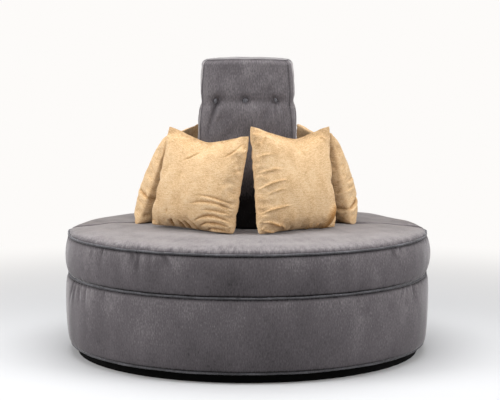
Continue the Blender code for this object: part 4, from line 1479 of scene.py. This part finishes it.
@dataclass
class ScatterPillow:
    """A stuffed knife-edge pillow that leans on the column, its foot on the deck.

    The cover is two square panels sewn at the rim. It is shaped in code, stuffed by a cloth
    simulation, subdivided, creased, and then leant on the column.
    """

    name: str
    stance: Stance
    stand: float
    seed: int
    creases: tuple[Crease, ...]
    yaw: float = 0.0
    roll: float = 0.0
    spread: float = 0.0
    slant: float = 0.0
    tall: float = 1.02
    swell_share: float = 1.0
    dip_share: float = 1.0
    notch: float = 0.0
    half: float = 0.213
    front_swell: float = 0.082
    back_swell: float = 0.070
    top_dip: float = 0.044
    foot_draw_in: float = 0.014
    side_draw_in: float = 0.006
    notch_round: float = 0.10
    ear: float = 0.03
    sink: float = 0.012
    flatten: float = 0.012
    settle: float = 0.012
    standoff: float = 0.002
    cells: int = 52
    edge_crowding: float = 1.25
    slack: float = 0.035
    most_move: float = 0.010
    frames: int = 20
    seam_back: float = 0.0
    deck: float = 0.531
    gap: float = 0.0005
    column_half: float = 0.225
    column_corner: float = 0.035
    side_mark: float = 0.02
    crown_power: float = 0.45
    low_belly: float = 0.16
    soft_waves: float = 0.0008
    # Painted shade in the folds, per metre of depth, and towards the pillow's top.
    painted_crease_shade: float = 44.0
    painted_top_shade: float = 0.10

    def grid(self) -> tuple[Array, list[tuple[int, ...]]]:
        """Lay out the two panels' points, sewn together at their rim.

        Returns:
            Place across, up and side (-1 front, 1 back, 0 seam) of each point, and the faces.
        """
        n = self.cells
        crowding = self.edge_crowding
        steps = np.sin(np.linspace(-1, 1, n + 1) * crowding) / math.sin(crowding)
        u, v = np.meshgrid(steps, steps, indexing="ij")
        rim = (np.abs(u) > 1 - 1e-9) | (np.abs(v) > 1 - 1e-9)
        front = np.arange((n + 1) ** 2).reshape(n + 1, n + 1)
        back = np.where(rim, front, (n + 1) ** 2 + np.cumsum(~rim).reshape(n + 1, n + 1) - 1)
        side = np.where(rim, 0.0, -1.0)
        fore = np.stack([u, v, side], axis=-1).reshape(-1, 3)
        rear = np.stack([u, v, -side], axis=-1)[~rim]
        faces = []
        for i in range(n):
            for j in range(n):
                ring = ((i, j), (i + 1, j), (i + 1, j + 1), (i, j + 1))
                faces.append(tuple(int(front[a]) for a in ring))
                faces.append(tuple(int(back[a]) for a in reversed(ring)))
        return np.concatenate([fore, rear]), faces

    def plump(self, places: Array) -> Array:
        """Shape the pillow: crowned faces, sides drawn in between blunt ears, belly low.

        Args:
            places: Place across, up and side of each point.

        Returns:
            Points with x across, -y out of the front and z up.
        """
        u, v, side = places.T
        blunt = 1 - self.ear * np.abs(u * v) ** 8
        x = u * (self.half - self.side_draw_in * (1 - v**2)) * (1 - self.spread * v)
        x = (x + self.half * self.slant * v) * blunt
        chop = self.top_dip * self.dip_share * self.chopped(u)
        drawn = np.where(v > 0, chop, self.foot_draw_in * (1 - u**2))
        z = v * (self.half - drawn) * blunt * self.tall
        swell = np.where(side < 0, self.front_swell * self.swell_share, self.back_swell)
        crown = ((1 - u**2) * (1 - v**2)).clip(0) ** self.crown_power
        crown *= 1 - self.low_belly * v
        y = self.stance.bow * (1 - u**2) * (1 + v) / 2 + side * swell * crown
        y += self.seam_back * u**2
        return np.column_stack([x, y, z])

    def chopped(self, u: Array) -> Array:
        """Work out how deep the chop in the top edge is, as a share of the full dip.

        Args:
            u: Place across the pillow, from -1 to 1.

        Returns:
            The share at each place.
        """
        aside = np.abs(u - self.notch) / (1 - np.sign(u - self.notch) * self.notch)
        soft = self.notch_round
        return 1 - (np.hypot(aside, soft) - soft) / (math.hypot(1, soft) - soft)

    def stuff(self, mesh: bpy.types.Mesh, rim: Array) -> Array:
        """Let the cover's spare cloth buckle over its stuffing, its seam held.

        Args:
            mesh: The plump cover.
            rim: The numbers of the points on the seam.

        Returns:
            The points after stuffing, none moved further than the most allowed.
        """
        before = self.read(mesh)
        item = bpy.data.objects.new("stuffing", mesh)
        bpy.context.scene.collection.objects.link(item)
        item.vertex_groups.new(name="seam").add(rim.tolist(), 1.0, "REPLACE")
        cloth = item.modifiers.new("cloth", "CLOTH")
        for name, value in TAN_COVER_CLOTH.items():
            setattr(cloth.settings, name, value)
        cloth.settings.shrink_min = -self.slack
        cloth.settings.vertex_group_mass = "seam"
        cloth.settings.effector_weights.gravity = 0
        cloth.collision_settings.use_collision = False
        cloth.point_cache.frame_start = 1
        cloth.point_cache.frame_end = self.frames + 4
        scene = bpy.context.scene
        for frame in range(1, self.frames + 1):
            scene.frame_set(frame)
        stuffed = item.evaluated_get(bpy.context.evaluated_depsgraph_get()).to_mesh()
        move = self.read(stuffed) - before
        bpy.data.objects.remove(item)
        scene.frame_set(1)
        length = np.linalg.norm(move, axis=1, keepdims=True)
        return before + move * self.most_move / np.maximum(length, self.most_move)

    @staticmethod
    def read(mesh: bpy.types.Mesh) -> Array:
        """Read a mesh's points.

        Args:
            mesh: The mesh.

        Returns:
            The points, by vertex and axis.
        """
        points = np.empty(len(mesh.vertices) * 3, np.float32)
        mesh.vertices.foreach_get("co", points)
        return points.reshape(-1, 3).astype(float)

    def smooth(self, mesh: bpy.types.Mesh) -> bpy.types.Mesh:
        """Subdivide a cover twice.

        Args:
            mesh: The cover, with its cloth's place kept on it.

        Returns:
            The finer cover.
        """
        item = bpy.data.objects.new("softening", mesh)
        bpy.context.scene.collection.objects.link(item)
        item.modifiers.new("soften", "SUBSURF").levels = 2
        graph = bpy.context.evaluated_depsgraph_get()
        fine = bpy.data.meshes.new_from_object(item.evaluated_get(graph), depsgraph=graph)
        bpy.data.objects.remove(item)
        return fine

    def folds(self, across: Array, up: Array) -> Array:
        """Relief of the front's creases and of the small gathers along every seam.

        Args:
            across: Place across the flat cover, in metres.
            up: Place up the flat cover, in metres.

        Returns:
            The height at each point, in metres.
        """
        total = sum((crease.relief(across, up, self.half) for crease in self.creases), 0 * across)
        edges = (
            (across, self.half - up),
            (across, self.half + up),
            (up, self.half - across),
            (up, self.half + across),
        )
        for number, (along, run) in enumerate(edges):
            sewn = Gathers(
                places=(-0.2, 0.2),
                count=17,
                depth_mm=(0.6, 2.2),
                width_mm=(3.5, 6.5),
                length_mm=(9, 30),
                seed=10 * self.seed + number,
                lean=0.6,
            )
            total = total + sewn.relief(along, np.maximum(run, 0))
        return total

    def pose(self, points: Array) -> Array:
        """Lean the pillow on the column, flat-backed, and press its foot to the deck.

        Args:
            points: The upright pillow's points.

        Returns:
            The points where the pillow stands.
        """
        angle = math.radians(self.stand)
        out = Vector((math.sin(angle), -math.cos(angle), 0.0))
        half = self.half * self.tall
        top_reach, foot_reach, _ = self.stance
        lean = math.asin((foot_reach - top_reach) / (2 * half))
        middle = self.deck - self.sink + half * math.cos(lean)
        place = Matrix.Translation(out * (top_reach + foot_reach) / 2 + Vector((0, 0, middle)))
        heading = angle + math.radians(self.yaw)
        place = place @ Matrix.Rotation(heading, 4, "Z") @ Matrix.Rotation(-lean, 4, "X")
        place = np.array(place @ Matrix.Rotation(math.radians(self.roll), 4, "Y"))
        world = points @ place[:3, :3].T + place[:3, 3]
        direction = np.array(out)
        flat = (self.column_half - self.column_corner) * (abs(out.x) + abs(out.y))
        corner = flat + self.column_corner + self.standoff
        away = world @ direction - corner
        world += np.outer(self.eased(away, self.flatten) - away, direction)
        lift = self.eased(world[:, 2] - self.deck, self.settle)
        world[:, 2] = self.deck + lift - lift.min() + self.gap
        return world

    @staticmethod
    def eased(distance: Array, settle: float) -> Array:
        """Press a distance smoothly towards nothing, so that a soft form rests and never crosses.

        Args:
            distance: Distance from the surface it rests on, negative beyond it.
            settle: Distance within which it is pressed.

        Returns:
            The pressed distance.
        """
        pressed = settle * np.exp(np.minimum(distance - settle, 0) / settle)
        return np.where(distance >= settle, distance, pressed)

    def build(self, dresser: Dresser) -> None:
        """Build and dress the pillow.

        Args:
            dresser: Puts the piece into the scene.
        """
        places, faces = self.grid()
        shape = bpy.data.meshes.new("plump_cover")
        shape.from_pydata(self.plump(places).tolist(), [], faces)
        rim = np.flatnonzero(places[:, 2] == 0)
        points = self.stuff(shape, rim)
        coarse = bpy.data.meshes.new("stuffed_cover")
        coarse.from_pydata(points.tolist(), [], faces)
        flat = places * np.array([self.half, self.half, self.side_mark])
        write_attributes(coarse, flat, 0 * flat[:, 0])
        outward(coarse)
        mesh = self.smooth(coarse)
        mesh.name = f"{self.name}_cover"
        points = self.read(mesh)
        flat, normals = np.empty(points.size, np.float32), np.empty(points.size, np.float32)
        mesh.attributes[CLOTH_PLACE].data.foreach_get("vector", flat)
        mesh.vertex_normals.foreach_get("vector", normals)
        flat = flat.reshape(-1, 3).astype(float)
        relief = self.folds(flat[:, 0], flat[:, 1]) * np.where(flat[:, 2] > 0, 0.5, 1.0)
        soft = waves(flat[:, 0], flat[:, 1], lengths=(0.05, 0.16), seed=200 + self.seed)
        relief += self.soft_waves * soft
        rim_share = np.clip(np.abs(flat[:, 2]) / self.side_mark, 0, 1)
        points += normals.reshape(-1, 3) * (relief * rim_share)[:, None]
        mesh.vertices.foreach_set("co", self.pose(points).astype(np.float32).ravel())
        # Painted shade: dark in the folds, and a little darker towards the top.
        nap_and_shade = self.painted_crease_shade * np.clip(relief, -0.014, 0.001)
        nap_and_shade -= self.painted_top_shade * np.clip((flat[:, 1] / self.half - 0.2) / 0.8, 0, 1)
        mesh.attributes[NAP_AND_PAINTED_LIGHT].data.foreach_set("value", nap_and_shade.astype(np.float32))
        flat[:, 0] += self.seed * 3.0
        mesh.attributes[CLOTH_PLACE].data.foreach_set("vector", flat.astype(np.float32).ravel())
        mesh.polygons.foreach_set("use_smooth", [True] * len(mesh.polygons))
        mesh.update()
        dresser.add(mesh, Slot.TAN, self.name, (self.name,), fill=0.7)


class Lamp(NamedTuple):
    """One soft square lamp: where it hangs, what it faces, its side and its power in watts."""

    name: str
    place: tuple[float, float, float]
    aim: tuple[float, float, float]
    size: float
    power: float


@dataclass
class Studio:
    """The plain pale studio: a round white floor, soft lamps and the photograph's camera."""

    lens: float = 103.39
    eye: tuple[float, float, float] = (0.0107, -6.096, 1.239)
    pitch: float = 5.72
    floor_colour: str = "#e0e1e3"
    air_colour: str = "#fdfbf9"
    floor_radius: float = 60.0
    floor_sides: int = 96
    white_from: tuple[float, float] = (1.15, 3.6)
    fill: float = 0.27
    lamps: tuple[Lamp, ...] = (
        Lamp("overhead", (0.0, -0.35, 3.4), (0.0, -0.2, 0.5), 2.8, 96.0),
        Lamp("left", (-3.3, -1.5, 2.2), (0.0, 0.0, 0.5), 1.8, 74.0),
        Lamp("right", (3.0, -1.6, 2.2), (0.0, 0.0, 0.5), 1.8, 55.0),
    )

    def floor(self) -> None:
        """Lay a wide round floor, the same from every side."""
        turns = np.linspace(0, math.tau, self.floor_sides, endpoint=False)
        size = self.floor_radius
        points = [(size * math.cos(turn), size * math.sin(turn), 0.0) for turn in turns]
        mesh = bpy.data.meshes.new("studio_floor")
        mesh.from_pydata(points, [], [tuple(range(len(points)))])
        item = bpy.data.objects.new("studio_floor", mesh)
        item.data.materials.append(self.painted_floor())
        bpy.context.scene.collection.objects.link(item)

    def painted_floor(self) -> bpy.types.Material:
        """Paint the floor matt white, burnt out to white away from the sofa as the studio's was.

        Returns:
            The paint.
        """
        made, tree = new_material("painted_studio_floor")
        matt = {"Roughness": 0.8, "Specular IOR Level": 0.1}
        matt["Base Color"] = linear(self.floor_colour)
        paint = add_node(tree, "ShaderNodeBsdfPrincipled", matt)
        white = {"Color": linear(self.air_colour), "Strength": 1.0}
        glow = add_node(tree, "ShaderNodeEmission", white)
        place = add_node(tree, "ShaderNodeTexCoord").outputs["Object"]
        away = add_node(tree, "ShaderNodeVectorMath", {0: place}, operation="LENGTH")
        start, end = self.white_from
        inputs = {0: away.outputs["Value"], 1: start, 2: end}
        far = add_node(tree, "ShaderNodeMapRange", inputs, interpolation_type="SMOOTHSTEP")
        inputs = {0: far.outputs[0], 1: self.seen(tree)}
        share = add_node(tree, "ShaderNodeMath", inputs, operation="MULTIPLY")
        inputs = {0: share.outputs[0], 1: paint.outputs[0], 2: glow.outputs[0]}
        mixed = add_node(tree, "ShaderNodeMixShader", inputs)
        add_node(tree, "ShaderNodeOutputMaterial", {"Surface": mixed.outputs[0]})
        return made

    @staticmethod
    def seen(tree: bpy.types.NodeTree) -> bpy.types.NodeSocket:
        """Give one for rays that show the background: from the camera, in gloss or through glass.

        Args:
            tree: The node tree.

        Returns:
            The share's socket.
        """
        path = add_node(tree, "ShaderNodeLightPath")
        total: bpy.types.NodeSocket = path.outputs["Is Camera Ray"]
        for ray in ("Is Glossy Ray", "Is Transmission Ray"):
            inputs = {0: total, 1: path.outputs[ray]}
            total = add_node(tree, "ShaderNodeMath", inputs, operation="MAXIMUM").outputs[0]
        return total

    @staticmethod
    def hang(lamp: Lamp) -> None:
        """Hang a soft square lamp.

        Args:
            lamp: The lamp.
        """
        light = bpy.data.lights.new(lamp.name, "AREA")
        light.shape = "SQUARE"
        light.size = lamp.size
        light.energy = lamp.power
        item = bpy.data.objects.new(lamp.name, light)
        item.location = lamp.place
        facing = Vector(lamp.aim) - Vector(lamp.place)
        item.rotation_euler = facing.to_track_quat("-Z", "Y").to_euler()
        bpy.context.scene.collection.objects.link(item)

    def world(self) -> None:
        """Fill the room with even light, white where the camera sees it."""
        world = bpy.data.worlds.new("studio_air")
        bpy.context.scene.world = world
        world.use_nodes = True
        tree = world.node_tree
        tree.nodes.clear()
        inputs = {0: self.seen(tree), 3: self.fill, 4: 1.0}
        strength = add_node(tree, "ShaderNodeMapRange", inputs).outputs[0]
        inputs = {"Color": linear(self.air_colour), "Strength": strength}
        air = add_node(tree, "ShaderNodeBackground", inputs)
        add_node(tree, "ShaderNodeOutputWorld", {"Surface": air.outputs[0]})

    def camera(self) -> None:
        """Set the camera where the photograph was taken from."""
        data = bpy.data.cameras.new("camera")
        data.sensor_width = 36.0
        data.lens = self.lens
        item = bpy.data.objects.new("camera", data)
        item.location = self.eye
        item.rotation_euler = (math.radians(90 - self.pitch), 0.0, 0.0)
        bpy.context.scene.collection.objects.link(item)
        bpy.context.scene.camera = item

    def build(self) -> None:
        """Build the studio."""
        self.floor()
        self.world()
        self.camera()
        for lamp in self.lamps:
            self.hang(lamp)
        bpy.context.scene.view_settings.view_transform = "Standard"


def finishes() -> dict[Slot, bpy.types.Material]:
    """Build each slot's finish.

    Returns:
        The materials by slot.
    """
    made = {
        Slot.VELVET: CutPileVelvet("cut_pile_velvet"),
        # The same velvet, cut on the bias and drawn over cord or a button, as a darker, bluer copy:
        # the darkness is painted shade on the tight curves, and it glows less.
        Slot.WELT: CutPileVelvet("bias_cut_velvet", "#1d1d1f", "#5a595c", "#86868c", sheen=0.7),
        Slot.TAN: NubbyWeave("nubby_tan_weave"),
        Slot.PLYWOOD: BirchPlywood("sanded_birch_plywood"),
        # Flat paint, brushed on plywood: a dead black with hardly any gloss.
        Slot.PAINT: SpeckledSurface(
            "flat_black_paint", "#040404", "#0b0b0b", (0.8, 0.95), gloss=0.08
        ),
        # Non-woven lining, melted together from threads far too fine to show: a matt dark
        # sheet, its specks drawn 1.5 mm across.
        Slot.LINING: SpeckledSurface(
            "spunbond_lining", "#131314", "#1f1f21", (0.85, 1.0), speck_mm=1.5
        ),
        # Zinc, plated on turned steel: silvery, with duller handled specks 4 mm across.
        Slot.ZINC: SpeckledSurface(
            "bright_zinc_plate", "#b9bcc2", "#8f9398", (0.25, 0.45), metallic=1.0, speck_mm=4.0
        ),
        # Nylon, moulded: a soft low gloss, with slightly paler rubbed specks 2 mm across.
        Slot.NYLON: SpeckledSurface(
            "moulded_black_nylon", "#1c1c1d", "#2a2a2b", (0.4, 0.55), speck_mm=2.0
        ),
    }
    return {slot: finish.build() for slot, finish in made.items()}


def pillows() -> list[ScatterPillow]:
    """List the five pillows where the part stands them, with their creases.

    Returns:
        The pillows.
    """
    upright = Stance(0.298, 0.352, 0.030)
    slumped = Stance(0.306, 0.415, 0.026)
    flopped = Stance(0.276, 0.440, 0.006)
    front_left = (
        Crease((-0.02, 0.74), (-0.3, 0.42), 3.4, 4.5, 0.05, -1),
        Crease((0.62, 0.56), (0.88, 0.84), 3.0, 5.0, -0.1),
        Crease((0.99, -0.34), (0.3, -0.26), 4.2, 5.0, -0.05, -1),
        Crease((1.0, -0.44), (0.16, -0.44), 5.2, 5.5, -0.10, -1),
        Crease((0.98, -0.53), (0.42, -0.54), 3.2, 4.5, -0.06, -1),
        Crease((0.98, -0.68), (0.26, -0.78), 5.5, 5.5, -0.16, -1),
        Crease((0.95, -0.78), (0.34, -0.90), 5.5, 5.0, -0.15, -1),
        Crease((0.90, -0.87), (0.46, -0.98), 5.0, 4.5, -0.14, -1),
        Crease((-0.44, -0.60), (-0.41, -0.72), 3.0, 5.0),
        Crease((-0.38, -1.02), (-0.31, -0.82), 8.0, 8.0, 0.1),
        Crease((-0.13, -1.02), (-0.16, -0.84), 7.0, 7.0, -0.1),
        Crease((0.06, -1.02), (-0.03, -0.84), 7.0, 7.0),
        Crease((0.24, -1.02), (0.12, -0.80), 8.0, 7.0, -0.1),
        Crease((-0.97, -0.90), (-0.78, -0.95), 4.0, 4.0, 0.1),
    )
    front_right = (
        Crease((-0.99, 0.42), (-0.66, 0.48), 2.2, 5.0),
        Crease((-0.99, 0.12), (-0.52, 0.19), 3.0, 5.5, 0.05),
        Crease((-1.0, -0.16), (-0.48, -0.02), 4.4, 5.0, 0.06),
        Crease((-0.9, -0.27), (-0.52, -0.18), 2.6, 5.0, 0.04),
        Crease((-0.98, -0.60), (-0.44, -0.50), 4.6, 5.0, 0.05),
        Crease((-0.94, -0.76), (-0.60, -0.90), 5.0, 5.0, 0.12),
        Crease((-0.80, -0.80), (-0.42, -0.98), 5.5, 5.0, 0.10),
        Crease((-0.92, -0.90), (-0.62, -0.99), 5.0, 4.5),
        Crease((0.80, -0.50), (0.52, -1.04), 13.0, 12.0, -0.06, -1),
        Crease((0.92, -0.72), (0.70, -0.97), 5.5, 6.0, 0.05),
        Crease((0.99, -0.86), (0.78, -0.90), 4.0, 4.5),
        Crease((0.12, 0.72), (0.16, 0.52), 2.2, 5.0),
        Crease((0.66, 0.84), (0.80, 0.66), 2.4, 5.0, 0.1),
        Crease((-0.82, 0.62), (-0.70, 0.84), 2.4, 5.0, 0.1),
        Crease((0.15, -1.02), (0.20, -0.86), 5.0, 6.0),
        Crease((0.34, -1.02), (0.40, -0.88), 5.0, 6.0),
    )
    left = (
        Crease((0.62, -0.28), (1.1, -0.30), 5.5, 7.0, 0.02),
        Crease((0.5, -0.42), (0.98, -0.46), 2.6, 6.0),
        Crease((0.25, -0.80), (1.0, -0.88), 8.0, 7.0, 0.06),
        Crease((0.1, -0.90), (0.8, -1.0), 5.0, 6.0, 0.06),
        Crease((0.6, 0.3), (0.97, 0.24), 2.0, 6.0),
        Crease((-0.9, -0.4), (-0.3, -0.5), 4.0, 6.0, 0.1),
        Crease((-0.6, -0.95), (-0.4, -0.75), 5.0, 5.0),
    )
    right = (
        Crease((-0.99, -0.06), (-0.55, -0.04), 3.4, 5.0),
        Crease((-0.99, -0.20), (-0.70, -0.18), 2.4, 5.0),
        Crease((-1.1, -0.60), (-0.46, -0.47), 8.0, 8.0, 0.05),
        Crease((-0.96, -0.66), (-0.5, -0.60), 3.0, 5.0),
        Crease((-1.0, -0.90), (-0.2, -0.84), 6.0, 6.0, 0.08),
        Crease((-0.75, -1.0), (-0.25, -0.92), 5.0, 6.0, 0.08),
        Crease((0.3, -0.5), (0.95, -0.35), 4.0, 6.0, 0.1),
    )
    back = (
        Crease((-0.99, -0.35), (-0.3, -0.46), 5.0, 6.0, 0.06),
        Crease((-0.98, -0.48), (-0.5, -0.60), 3.6, 5.0, 0.06),
        Crease((0.2, -0.66), (0.98, -0.5), 5.5, 6.0, 0.10),
        Crease((0.3, -0.86), (0.95, -0.76), 5.0, 5.5, 0.12),
        Crease((-0.7, -0.97), (-0.5, -0.78), 5.0, 5.0),
        Crease((-0.1, -0.98), (-0.06, -0.84), 4.0, 4.5),
        Crease((0.05, 0.74), (0.2, 0.5), 3.0, 5.0),
    )
    return [
        ScatterPillow(
            "front_left_pillow",
            upright,
            -36.2,
            1,
            front_left,
            roll=4.0,
            spread=0.01,
            slant=0.062,
            tall=1.005,
            dip_share=1.05,
            notch=-0.02,
        ),
        ScatterPillow(
            "front_right_pillow",
            upright,
            35.1,
            2,
            front_right,
            yaw=6.0,
            roll=1.5,
            slant=-0.024,
            tall=1.05,
            dip_share=1.15,
            notch=0.14,
        ),
        ScatterPillow(
            "left_pillow",
            flopped,
            -108.0,
            3,
            left,
            roll=5.0,
            spread=0.04,
            tall=1.05,
            swell_share=0.86,
            dip_share=0.2,
            slack=0.02,
            seam_back=0.012,
        ),
        ScatterPillow(
            "right_pillow",
            slumped,
            108.0,
            4,
            right,
            roll=-3.0,
            spread=0.04,
            dip_share=0.4,
            slack=0.022,
            seam_back=0.012,
        ),
        ScatterPillow(
            "back_pillow", upright, 180.0, 5, back, spread=0.03, dip_share=0.9, notch=0.06
        ),
    ]


def main() -> None:
    """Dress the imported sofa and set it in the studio."""
    logging.basicConfig(level=logging.INFO, format="%(name)s %(message)s")
    for item in list(bpy.data.objects):
        bpy.data.objects.remove(item)
    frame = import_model()
    dresser = Dresser(finishes())
    SeatSection("front", -1, Body.FRONT).build(dresser)
    # The back half's deck carries less painted light, so it is drawn darker.
    SeatSection("back", 1, Body.BACK, deck_painted_light=0.4).build(dresser)
    CentreColumn().build(dresser, frame["nodes"])
    for pillow in pillows():
        pillow.build(dresser)
    dresser.finish_nodes(frame["nodes"], frame["record"])
    Studio().build()


if __name__ == "__main__":
    main()
